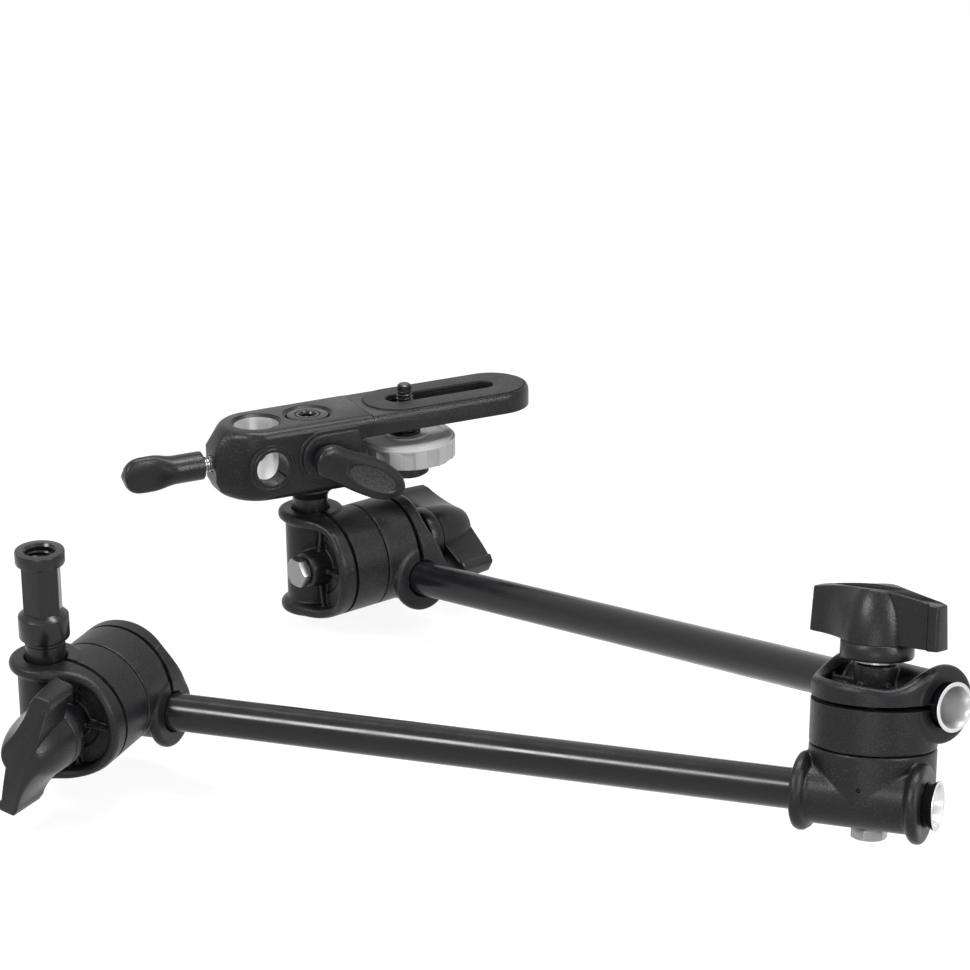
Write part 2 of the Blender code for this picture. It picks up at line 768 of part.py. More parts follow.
def screw_spacer():
    """Spacer between the platform and the lock wheel, sliding along the slot with the screw."""
    top = -PLATFORM_THICKNESS - RUNNING_GAP
    low = top - SPACER_LENGTH
    flange = turned(
        "spacer",
        [
            (0, top),
            (SPACER_RADIUS - 0.0004, top),
            (SPACER_RADIUS, top - 0.0004),
            (SPACER_RADIUS, low + 0.0004),
            (SPACER_RADIUS - 0.0004, low),
            (0, low),
        ],
        24,
    )
    return cut(flange, rod("hole", SCREW_RADIUS + RUNNING_GAP, low - 0.001, 0.002))


def lock_wheel():
    """Wheel with a scalloped rim and a raised hub, threaded on the camera screw."""
    top = WHEEL_TOP
    low = top - WHEEL_HEIGHT
    count = WHEEL_SCALLOPS * 4
    outline = []
    for i in range(count):
        angle = 2 * math.pi * i / count
        radius = WHEEL_RADIUS - (SCALLOP_DEPTH if i % 4 < 2 else 0)
        outline.append((radius * math.cos(angle), radius * math.sin(angle)))
    rim = plate("rim", outline, WHEEL_HEIGHT - 0.0014)
    rim.data.transform(Matrix.Translation((0, 0, (top + low) / 2 - 0.0007)))
    cap = turned(
        "cap",
        [
            (0, top),
            (WHEEL_RADIUS - 0.0014, top),
            (WHEEL_RADIUS - 0.0002, top - 0.0012),
            (WHEEL_RADIUS - 0.0002, top - 0.0024),
            (0, top - 0.0024),
        ],
        TURN_STEPS,
    )
    join(rim, cap)
    return cut(rim, rod("hole", SCREW_RADIUS + RUNNING_GAP, low - 0.001, top + 0.001))


def camera_screw():
    """Camera screw with a knurled grip below the wheel."""
    top = WHEEL_TOP - WHEEL_HEIGHT - RUNNING_GAP
    low = top - GRIP_HEIGHT
    return turned(
        "screw",
        [
            (0, SCREW_RISE),
            (SCREW_RADIUS - 0.0006, SCREW_RISE),
            (SCREW_RADIUS, SCREW_RISE - 0.0006),
            (SCREW_RADIUS, top),
            (GRIP_RADIUS - 0.0006, top),
            (GRIP_RADIUS, top - 0.0006),
            (GRIP_RADIUS, low + 0.0012),
            (GRIP_RADIUS - 0.0014, low),
            (0, low),
        ],
        24,
    )


def paddle(name, start, reach, half_width, thickness, swell):
    """Flat leaf along X with a rounded tip, swelling from its root."""
    steps = 6
    upper = []
    for i in range(steps + 1):
        share = i / steps
        x = start + (reach - start) * share
        width = half_width * math.sqrt(max(0.0, 1 - ((share - swell) / (1 - swell)) ** 2)) \
            if share > swell else half_width * (0.72 + 0.28 * math.sin(math.pi / 2 * share / swell))
        upper.append((x, width))
    upper[-1] = (reach, half_width * 0.18)
    outline = upper + [(x, -y) for x, y in reversed(upper)]
    outline.reverse()
    return plate(name, outline, thickness, thickness * 0.22)


def lock_lever():
    """Moulded lever on the side thread: a hub along Y and a leaf that droops to the platform."""
    hub = turned(
        "hub",
        [
            (0, LEVER_HUB_LENGTH),
            (LEVER_HUB_RADIUS - 0.0014, LEVER_HUB_LENGTH),
            (LEVER_HUB_RADIUS, LEVER_HUB_LENGTH - 0.0014),
            (LEVER_HUB_RADIUS, 0),
            (0, 0),
        ],
        20,
    )
    leaf = paddle("leaf", 0.0, LEVER_REACH, LEVER_HALF_WIDTH, LEVER_THICKNESS, 0.55)
    leaf.data.transform(Matrix.Translation((0, 0, LEVER_HUB_LENGTH - LEVER_THICKNESS / 2 - 0.0003)))
    join(hub, leaf)
    cut(hub, rod("hole", LOCK_SCREW_RADIUS + RUNNING_GAP, -0.001, LEVER_HUB_LENGTH + 0.001, 16))
    return hub


def end_handle():
    """Handle of the end screw: a round socket that flattens into a rounded paddle, along -X."""
    length = HANDLE_LENGTH
    barrel = turned(
        "barrel",
        [
            (0, length * 0.55),
            (HANDLE_RADIUS * 0.55, length * 0.55),
            (HANDLE_RADIUS, length * 0.38),
            (HANDLE_RADIUS, 0.0006),
            (HANDLE_RADIUS - 0.0006, 0),
            (0, 0),
        ],
        20,
    )
    lay(barrel, "X")
    start = HANDLE_BARREL * 0.6
    leaf = paddle("leaf", start, length, PADDLE_HALF_WIDTH, PADDLE_THICKNESS, 0.6)
    leaf.data.transform(Matrix.Rotation(math.pi / 2, 4, "X"))
    join(barrel, leaf)
    hole = rod("hole", LOCK_SCREW_RADIUS + RUNNING_GAP, -0.001, HANDLE_BARREL * 0.7, 16, "X")
    cut(barrel, hole)
    barrel.data.transform(Matrix.Rotation(math.pi, 4, "Z"))
    return barrel


SLOT_END = PLATFORM_REACH - SLOT_END_WALL
BASE_DROP = (
    HEAD_HEIGHT + WAIST_LENGTH + BASE_COLLAR_HEIGHT + BASE_NECK + LOOP_HALF_LENGTH
)
WHEEL_TOP = -PLATFORM_THICKNESS - RUNNING_GAP - SPACER_LENGTH - RUNNING_GAP

# Frames of the joints, from the base stud out to the bracket
AXIS = (-ROD_OFFSET, 0, ROD_HEIGHT)
stud_frame = pivot("base_stud_frame", None)
swivel = pivot("base_swivel_axis", stud_frame, (0, 0, -BASE_DROP))
base_near = pivot("base_bolt_axis", swivel, (ROD_OFFSET, ROD_HEIGHT, 0), (90, 0, 0))
base_far = pivot("base_disc_axis", base_near, turn=(180, 0, 90 + BASE_RISE))
lower_axis = pivot("lower_tube_axis", base_far, AXIS, (0, -90 - LOWER_TWIST, 0))
elbow_lower = pivot("elbow_bolt_axis", lower_axis, (ROD_OFFSET, LOWER_SPAN, -ROD_HEIGHT))
elbow_upper = pivot("elbow_disc_axis", elbow_lower, turn=(180, 0, 180 + ELBOW_OPENING))
upper_axis = pivot("upper_tube_axis", elbow_upper, AXIS, (0, -90 + UPPER_TWIST, 0))
head_far = pivot("head_bolt_axis", upper_axis, (ROD_OFFSET, -UPPER_SPAN, -ROD_HEIGHT))
head_near = pivot("head_disc_axis", head_far, turn=(180, 0, 90 - HEAD_TILT))
mount_axis = pivot("bracket_stud_axis", head_near, AXIS, (-90, 0, 0))
bracket_frame = pivot("bracket_frame", mount_axis, (0, 0, STUD_RISE), (0, 0, BRACKET_TURN))
slot_frame = pivot("camera_screw_axis", bracket_frame, (SCREW_X, 0, 0))
FRONT = -BRACKET_WIDTH / 2 - BOSS_PAD_RISE - RUNNING_GAP
lever_frame = pivot("lever_axis", bracket_frame, (0, FRONT, -LEVER_DEPTH), (90, 0, 0))
end_frame = pivot("end_screw_axis", bracket_frame, (NOSE_X, 0, -END_SCREW_DEPTH))

# Clamp halves
finish(clamp_half(STUD_SHANK_RADIUS), "base_near_half", MOULDED, base_near)
finish(clamp_half(TUBE_RADIUS), "base_far_half", MOULDED, base_far)
finish(clamp_half(TUBE_RADIUS), "elbow_lower_half", MOULDED, elbow_lower)
finish(clamp_half(TUBE_RADIUS), "elbow_upper_half", MOULDED, elbow_upper)
finish(clamp_half(TUBE_RADIUS), "head_far_half", MOULDED, head_far)
finish(clamp_half(STUD_SHANK_RADIUS), "head_near_half", MOULDED, head_near)

# Bolts sit in one half of each joint, and the knob on the other
for joint, bolt_side, knob_side, knob_turn in (
    ("base", base_far, base_near, BASE_KNOB_TURN),
    ("elbow", elbow_lower, elbow_upper, ELBOW_KNOB_TURN),
    ("head", head_near, head_far, HEAD_KNOB_TURN),
):
    finish(clamp_bolt(), joint + "_bolt", STEEL, bolt_side)
    finish(washer(), joint + "_washer", STEEL, knob_side)
    finish(wing_knob(), joint + "_knob", KNOB, knob_side, turn=(0, 0, knob_turn))

# Rods
finish(base_stud(), "base_stud", BLACK_STEEL, stud_frame)
finish(tube(LOWER_SPAN), "lower_tube", TUBE, lower_axis)
upper_tube = tube(UPPER_SPAN)
finish(upper_tube, "upper_tube", TUBE, upper_axis, (0, -UPPER_SPAN, 0))
finish(bracket_stud(), "bracket_stud", BLACK_STEEL, bracket_frame)

# Bracket
finish(bracket_body(), "bracket_body", CASTING, bracket_frame)
finish(anti_slip_pad(), "bracket_pad", RUBBER, bracket_frame)
finish(screw_spacer(), "screw_spacer", BLACK_STEEL, slot_frame)
finish(camera_screw(), "camera_screw", BLACK_STEEL, slot_frame)
finish(lock_wheel(), "lock_wheel", GREY, slot_frame)

# Side lever and its screw
finish(lock_lever(), "lock_lever", KNOB, lever_frame, turn=(0, 0, LEVER_DROOP))
lever_screw = rod(
    "screw",
    LOCK_SCREW_RADIUS,
    FRONT + MOUNT_STUD_RADIUS + RUNNING_GAP,
    LEVER_HUB_LENGTH - 0.0006,
    16,
)
finish(lever_screw, "lock_lever_screw", STEEL, lever_frame)

# End screw and its handle
handle_x = -END_SCREW_EXPOSED
screw_tip = SOCKET_X - SOCKET_RADIUS - NOSE_X - 0.0010
end_screw = rod(
    "screw",
    LOCK_SCREW_RADIUS,
    handle_x - HANDLE_BARREL * 0.7 + RUNNING_GAP,
    screw_tip,
    16,
    "X",
)
finish(end_screw, "end_screw", STEEL, end_frame)
finish(end_handle(), "end_screw_handle", KNOB, end_frame, (handle_x, 0, 0))
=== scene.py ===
"""Dressed model of the articulating friction arm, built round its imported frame.

Every piece is modelled in millimetres in the frame of the joint that carries it, and is then set
in its place in metres. The finishes are procedural and read Object coordinates.
"""

import json
import logging
import math
from dataclasses import dataclass
from enum import Enum
from typing import Callable, Optional, Sequence

import bmesh
import bpy
from mathutils import Matrix, Vector


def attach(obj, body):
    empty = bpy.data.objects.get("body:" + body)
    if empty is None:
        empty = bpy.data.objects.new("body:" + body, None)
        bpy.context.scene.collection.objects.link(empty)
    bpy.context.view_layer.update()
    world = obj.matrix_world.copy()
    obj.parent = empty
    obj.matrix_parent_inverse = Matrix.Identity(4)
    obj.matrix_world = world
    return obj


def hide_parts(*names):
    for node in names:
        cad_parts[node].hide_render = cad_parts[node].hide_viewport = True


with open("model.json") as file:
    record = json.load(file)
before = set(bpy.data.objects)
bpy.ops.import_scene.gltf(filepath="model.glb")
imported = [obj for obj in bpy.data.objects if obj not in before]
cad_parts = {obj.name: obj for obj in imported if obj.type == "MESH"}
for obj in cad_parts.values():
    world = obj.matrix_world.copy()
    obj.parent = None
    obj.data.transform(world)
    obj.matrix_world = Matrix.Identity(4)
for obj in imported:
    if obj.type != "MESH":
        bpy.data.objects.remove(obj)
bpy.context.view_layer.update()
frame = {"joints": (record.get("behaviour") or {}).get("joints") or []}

LOG = logging.getLogger("friction_arm")
MM = 0.001
RUNNING_GAP = 0.3           # between touching pieces, as in the frame
ROD_OFFSET = 9.9            # bolt axis to rod axis
ROD_HEIGHT = 14.5           # friction face to rod axis
WASHER_SEAT = 25.5
KNOB_SEAT = 26.8
STUD_RISE = 56.8            # last loop's centre to the bracket's top face
LOOP_HALF = 20.0            # half the length of a split loop
STUD_OVERHANG = 1.2         # shank of a stud past the end of its loop
THREAD_STEPS = 28           # sections in each turn of a thread
TOOL_REACH = 40             # half length of a tool that cuts right through
# Paler colour of the edges: partly rubbed wear, partly a painted highlight.
WORN_AND_HIGHLIT_EDGE = (0.16, 0.16, 0.16, 1.0)

Point = tuple[float, float, float]
Flat = tuple[float, float]
Outline = Sequence[Flat]


class Along(Enum):
    """Axis that a turned shape is laid on."""

    X = "X"
    Y = "Y"
    Z = "Z"


class Boolean(Enum):
    """How one solid acts on another."""

    CUT = "DIFFERENCE"
    WELD = "UNION"
    COMMON = "INTERSECT"


class Texture(Enum):
    """Family of surface pattern that a finish has."""

    MOULDED = "moulded"
    TURNED = "turned"
    PEBBLED = "pebbled"


# Outlines and profiles


def arc(centre: Flat, radius: float, start: float, end: float, steps: int) -> list[Flat]:
    """Points on an arc, both ends included.

    Args:
        centre: Middle of the arc.
        radius: Its radius.
        start: First angle in degrees.
        end: Last angle in degrees.
        steps: Number of chords.

    Returns:
        The points in order.
    """
    angles = [math.radians(start + (end - start) * i / steps) for i in range(steps + 1)]
    return [(centre[0] + radius * math.cos(a), centre[1] + radius * math.sin(a)) for a in angles]


def rounded(corners: Sequence[tuple[float, float, float]], steps: int = 5) -> list[Flat]:
    """Open line through corners, each with its own fillet radius.

    Args:
        corners: (x, y, radius) of each corner. The first and last keep their points.
        steps: Chords on each fillet.

    Returns:
        The points in order.
    """
    line = [corners[0][:2]]
    for before, here, after in zip(corners, corners[1:], corners[2:]):
        corner = Vector(here[:2])
        to_before = (Vector(before[:2]) - corner).normalized()
        to_after = (Vector(after[:2]) - corner).normalized()
        half = to_before.angle(to_after) / 2
        reach = here[2] / math.tan(half)
        middle = corner + (to_before + to_after).normalized() * (here[2] / math.sin(half))
        first = corner + to_before * reach - middle
        last = corner + to_after * reach - middle
        for i in range(steps + 1):
            spoke = first.slerp(last, i / steps) if first.angle(last) > 0.001 else first
            line.append(tuple(middle + spoke))
    return [*line, corners[-1][:2]]


def stadium(start: float, end: float, radius: float, steps: int = 24) -> list[Flat]:
    """Outline with two round ends, given its outermost points on X."""
    left = arc((start + radius, 0), radius, 90, 270, steps)
    return left + arc((end - radius, 0), radius, -90, 90, steps)


def ease(share: float) -> float:
    """Smooth rise from 0 to 1."""
    return (1 - math.cos(math.pi * min(max(share, 0.0), 1.0))) / 2


def polar(radii: Sequence[float], height: float) -> list[Point]:
    """Ring about Z with its points at even angles, one for each radius."""
    angles = (2 * math.pi * i / len(radii) for i in range(len(radii)))
    return [(r * math.cos(a), r * math.sin(a), height) for r, a in zip(radii, angles)]


def oval(first: float, second: float, power: float, steps: int) -> list[Flat]:
    """Outline that is an ellipse at power 1 and squarer below it."""
    angles = [2 * math.pi * i / steps for i in range(steps)]
    return [
        (
            math.copysign(abs(math.cos(a)) ** power, math.cos(a)) * first,
            math.copysign(abs(math.sin(a)) ** power, math.sin(a)) * second,
        )
        for a in angles
    ]


def sweep(first: Flat, leaving: Flat, last: Flat, arriving: Flat, steps: int) -> list[Flat]:
    """Points of a cubic between two points, without the first one.

    Args:
        first: Where it starts.
        leaving: Its speed there.
        last: Where it ends.
        arriving: Its speed there.
        steps: Number of chords.

    Returns:
        The points in order.
    """
    line = []
    for s in (i / steps for i in range(1, steps + 1)):
        weights = (2 * s**3 - 3 * s**2 + 1, s**3 - 2 * s**2 + s, -2 * s**3 + 3 * s**2, s**3 - s**2)
        ends = (first, leaving, last, arriving)
        line.append(tuple(sum(w * end[k] for w, end in zip(weights, ends)) for k in (0, 1)))
    return line


# Modelling bench


class Bench:
    """Modelling tools, each of which leaves one finished mesh object."""

    @staticmethod
    def clear() -> None:
        """Leave edit mode and deselect everything."""
        if bpy.context.mode != "OBJECT":
            bpy.ops.object.mode_set(mode="OBJECT")
        bpy.ops.object.select_all(action="DESELECT")

    @classmethod
    def take(cls, *pieces: bpy.types.Object) -> bpy.types.Object:
        """Select these pieces alone and make the first one active."""
        cls.clear()
        for piece in pieces:
            piece.select_set(True)
        bpy.context.view_layer.objects.active = pieces[0]
        return pieces[0]

    @staticmethod
    def _set_ring(piece: bpy.types.Object, ring: Sequence[Point]) -> None:
        """Move the selected ring of vertices to the points of a section."""
        shape = bmesh.from_edit_mesh(piece.data)
        for vertex, point in zip([v for v in shape.verts if v.select], ring):
            vertex.co = point
        bmesh.update_edit_mesh(piece.data)

    @classmethod
    def loft(
        cls, name: str, rings: Sequence[Sequence[Point]], closed: bool = False
    ) -> bpy.types.Object:
        """Solid through sections, extruded from one to the next.

        Args:
            name: Name of the piece.
            rings: Sections with the same number of points.
            closed: True where the last section meets the first, with no end faces.

        Returns:
            The mesh object.
        """
        cls.clear()
        fill = "NOTHING" if closed else "NGON"
        bpy.ops.mesh.primitive_circle_add(vertices=len(rings[0]), radius=1.0, fill_type=fill)
        piece = bpy.context.object
        piece.name = name
        bpy.ops.object.mode_set(mode="EDIT")
        bpy.ops.mesh.select_mode(type="VERT")
        bpy.ops.mesh.select_all(action="SELECT")
        cls._set_ring(piece, rings[0])
        for ring in [*rings[1:], rings[0]] if closed else rings[1:]:
            bpy.ops.mesh.extrude_region_move()
            cls._set_ring(piece, ring)
        bpy.ops.mesh.select_all(action="SELECT")
        bpy.ops.mesh.remove_doubles(threshold=0.0004)
        bpy.ops.mesh.normals_make_consistent(inside=False)
        bpy.ops.object.mode_set(mode="OBJECT")
        return piece

    @classmethod
    def lathe(
        cls,
        name: str,
        profile: Outline,
        steps: int = 64,
        along: Along = Along.Z,
        at: Point = (0, 0, 0),
        closed: bool = False,
    ) -> bpy.types.Object:
        """Turned solid.

        Args:
            name: Name of the piece.
            profile: (radius, station) points from one end to the other.
            steps: Points round the axis.
            along: Axis of turning.
            at: Where the axis starts.
            closed: True for a profile that closes on itself, as of a ring or a pipe.

        Returns:
            The mesh object.
        """
        rings = [polar([max(radius, 0.02)] * steps, height) for radius, height in profile]
        return cls.lay(cls.loft(name, rings, closed), along, at)

    @staticmethod
    def lay(piece: bpy.types.Object, along: Along, at: Point = (0, 0, 0)) -> bpy.types.Object:
        """Turn a shape made about Z onto another axis, then move it."""
        turn = {
            Along.X: Matrix.Rotation(math.pi / 2, 4, "Y"),
            Along.Y: Matrix.Rotation(-math.pi / 2, 4, "X"),
            Along.Z: Matrix.Identity(4),
        }[along]
        piece.data.transform(Matrix.Translation(at) @ turn)
        return piece

    @classmethod
    def rod(
        cls,
        name: str,
        radius: float,
        low: float,
        high: float,
        along: Along = Along.Z,
        at: Point = (0, 0, 0),
        steps: int = 48,
    ) -> bpy.types.Object:
        """Plain round bar between two stations of an axis, used as a tool or a core."""
        return cls.lathe(name, [(radius, low), (radius, high)], steps, along, at)

    @classmethod
    def plate(cls, name: str, outline: Outline, low: float, high: float) -> bpy.types.Object:
        """Flat outline in XY, extruded between two heights."""
        return cls.loft(name, [[(x, y, level) for x, y in outline] for level in (low, high)])

    @staticmethod
    def stand(piece: bpy.types.Object) -> bpy.types.Object:
        """Stand a plate up, so that its outline's Y becomes height and its depth lies on Y."""
        piece.data.transform(Matrix.Rotation(math.pi / 2, 4, "X"))
        return piece

    @classmethod
    def bar(cls, name: str, low: Point, high: Point, bevel: float = 0.0) -> bpy.types.Object:
        """Box between two corners, with its edges rounded in edit mode."""
        cls.clear()
        bpy.ops.mesh.primitive_cube_add(
            size=1.0,
            location=[(a + b) / 2 for a, b in zip(low, high)],
            scale=[b - a for a, b in zip(low, high)],
        )
        piece = bpy.context.object
        piece.name = name
        bpy.ops.object.transform_apply(location=True, rotation=True, scale=True)
        if bevel:
            bpy.ops.object.mode_set(mode="EDIT")
            bpy.ops.mesh.select_all(action="SELECT")
            bpy.ops.mesh.bevel(offset=bevel, segments=3, affect="EDGES")
            bpy.ops.object.mode_set(mode="OBJECT")
        return piece

    @classmethod
    def apply(cls, piece: bpy.types.Object, kind: str, **values: object) -> bpy.types.Object:
        """Add one modifier with these settings and apply it."""
        cls.take(piece)
        modifier = piece.modifiers.new(kind.lower(), kind)
        for name, value in values.items():
            setattr(modifier, name, value)
        bpy.ops.object.modifier_apply(modifier=modifier.name)
        return piece

    @classmethod
    def boolean(
        cls, how: Boolean, piece: bpy.types.Object, *tools: bpy.types.Object
    ) -> bpy.types.Object:
        """Cut, weld or intersect the piece with each tool, which is then removed."""
        for tool in tools:
            cls.apply(piece, "BOOLEAN", operation=how.value, object=tool, solver="EXACT")
            bpy.data.objects.remove(tool, do_unlink=True)
        return piece

    @classmethod
    def gather(cls, *pieces: bpy.types.Object) -> bpy.types.Object:
        """Join the meshes of several pieces into the first."""
        cls.take(*pieces)
        bpy.ops.object.join()
        return pieces[0]

    @classmethod
    def soften(cls, piece: bpy.types.Object, voxel: float, passes: int) -> bpy.types.Object:
        """Fuse overlapping solids into one skin with the small fillets of a moulding."""
        cls.apply(piece, "REMESH", mode="VOXEL", voxel_size=voxel)
        return cls.apply(piece, "SMOOTH", factor=0.5, iterations=passes)

    @classmethod
    def bevel_where(
        cls,
        piece: bpy.types.Object,
        test: Callable[[Vector, Vector], bool],
        width: float,
        segments: int = 3,
    ) -> bpy.types.Object:
        """Round the edges whose two ends pass a test.

        Args:
            piece: Mesh to round.
            test: Says which edges are taken, from their two ends.
            width: Width of the rounding.
            segments: Its steps.

        Returns:
            The piece.
        """
        cls.take(piece)
        bpy.ops.object.mode_set(mode="EDIT")
        bpy.ops.mesh.select_mode(type="EDGE")
        bpy.ops.mesh.select_all(action="DESELECT")
        shape = bmesh.from_edit_mesh(piece.data)
        for edge in shape.edges:
            edge.select = test(edge.verts[0].co, edge.verts[1].co)
        bmesh.update_edit_mesh(piece.data)
        bpy.ops.mesh.bevel(offset=width, segments=segments, affect="EDGES", clamp_overlap=True)
        bpy.ops.object.mode_set(mode="OBJECT")
        return piece

    @classmethod
    def thread(
        cls,
        name: str,
        radius: float,
        depth: float,
        pitch: float,
        low: float,
        high: float,
        inward: bool = False,
    ) -> bpy.types.Object:
        """Helical ridge on a shaft, or in a bore where inward is True.

        Args:
            name: Name of the piece.
            radius: Crest radius on a shaft, wall radius in a bore.
            depth: Height of the ridge.
            pitch: Rise of each turn.
            low: First station.
            high: Last station.
            inward: True for the ridge of a threaded hole.

        Returns:
            The mesh object, about Z.
        """
        turns = (high - low) / pitch
        count = int(turns * THREAD_STEPS)
        foot, crest = (radius + 0.15, radius - depth) if inward else (radius - depth - 0.15, radius)
        rings = []
        for i in range(count + 1):
            angle = 2 * math.pi * turns * i / count
            rise = low + (high - low) * i / count
            fade = min(1.0, 6 * i / count, 6 * (count - i) / count)
            peak = foot + (crest - foot) * max(fade, 0.1)
            section = [(foot, -0.44), (peak, -0.07), (peak, 0.07), (foot, 0.44)]
            rings.append([
                (r * math.cos(angle), r * math.sin(angle), rise + z * pitch) for r, z in section
            ])
        return cls.loft(name, rings)

    @classmethod
    def copy(cls, piece: bpy.types.Object, name: str) -> bpy.types.Object:
        """Duplicate a piece with a mesh of its own."""
        cls.take(piece)
        bpy.ops.object.duplicate(linked=False)
        made = bpy.context.object
        made.name = name
        return made


# Places taken from the frame


def joint(name: str) -> tuple[Vector, Vector]:
    """Place and direction of a joint of the frame."""
    found = next(entry for entry in frame["joints"] if entry["name"] == name)
    return Vector(found["pos_m"]), Vector(found["axis"]).normalized()


def place(origin: Vector, x: Vector, y: Vector, z: Vector) -> Matrix:
    """Matrix that takes millimetres in a local frame to metres in the row frame."""
    turn = Matrix((x, y, z)).transposed().to_4x4()
    return Matrix.Translation(origin) @ turn @ Matrix.Scale(MM, 4)


def clamp_place(disc_joint: str, rod_joint: str) -> Matrix:
    """Frame of a clamp half: friction face at z = 0 and its rod along Y at x = -ROD_OFFSET."""
    centre, normal = joint(disc_joint)
    on_rod, along = joint(rod_joint)
    reach = on_rod - centre
    z = normal if reach.dot(normal) > 0 else -normal
    x = -(reach - z * reach.dot(z) - along * reach.dot(along)).normalized()
    return place(centre, x, z.cross(x), z)


def bracket_place() -> Matrix:
    """Frame of the bracket: top face at z = 0 on its stud's axis, platform along X."""
    loop, down = joint("stud_swivel")
    y = -joint("lock_lever_turn")[1]
    z = -down
    x = y.cross(z).normalized()
    return place(loop + z * STUD_RISE * MM, x, z.cross(x), z)


def turned_place(
    base: Matrix, at: Point = (0, 0, 0), degrees: float = 0.0, axis: str = "Z"
) -> Matrix:
    """Frame moved within another one, then turned about one of its axes."""
    return base @ Matrix.Translation(at) @ Matrix.Rotation(math.radians(degrees), 4, axis)


# Finishes


class NodeSheet:
    """Short hand for filling a node tree."""

    def __init__(self, tree: bpy.types.NodeTree) -> None:
        """Start an empty sheet on a tree."""
        self.tree = tree
        tree.nodes.clear()

    def add(self, kind: str, values: Optional[dict] = None, **settings: object) -> bpy.types.Node:
        """Add a node, set its properties, then set or link its sockets.

        Args:
            kind: Node class without its prefix.
            values: Socket name to a value, or to the output socket that feeds it.
            settings: Node properties.

        Returns:
            The node.
        """
        node = self.tree.nodes.new(kind)
        for name, value in settings.items():
            setattr(node, name, value)
        for name, value in (values or {}).items():
            if isinstance(value, bpy.types.NodeSocket):
                self.tree.links.new(value, node.inputs[name])
            else:
                node.inputs[name].default_value = value
        return node

    def maths(self, operation: str, first: object, second: object) -> bpy.types.NodeSocket:
        """Result of one arithmetic step on two values or sockets."""
        node = self.add("ShaderNodeMath", {0: first, 1: second}, operation=operation)
        return node.outputs[0]

    def noise(
        self, vector: bpy.types.NodeSocket, scale: object, detail: float
    ) -> bpy.types.NodeSocket:
        """Factor of a noise texture."""
        values = {"Vector": vector, "Scale": scale, "Detail": detail, "Roughness": 0.55}
        return self.add("ShaderNodeTexNoise", values).outputs[0]

    def span(self, value: object, low: float, high: float, to: Flat) -> bpy.types.NodeSocket:
        """Value mapped from one range to another, clamped."""
        values = {0: value, 1: low, 2: high, 3: to[0], 4: to[1]}
        return self.add("ShaderNodeMapRange", values, clamp=True).outputs[0]

    def blend(self, factor: object, first: object, second: object) -> bpy.types.NodeSocket:
        """Colour between two others."""
        node = self.add("ShaderNodeMix", data_type="RGBA")
        for index, value in ((0, factor), (6, first), (7, second)):
            if isinstance(value, bpy.types.NodeSocket):
                self.tree.links.new(value, node.inputs[index])
            else:
                node.inputs[index].default_value = value
        return node.outputs[2]


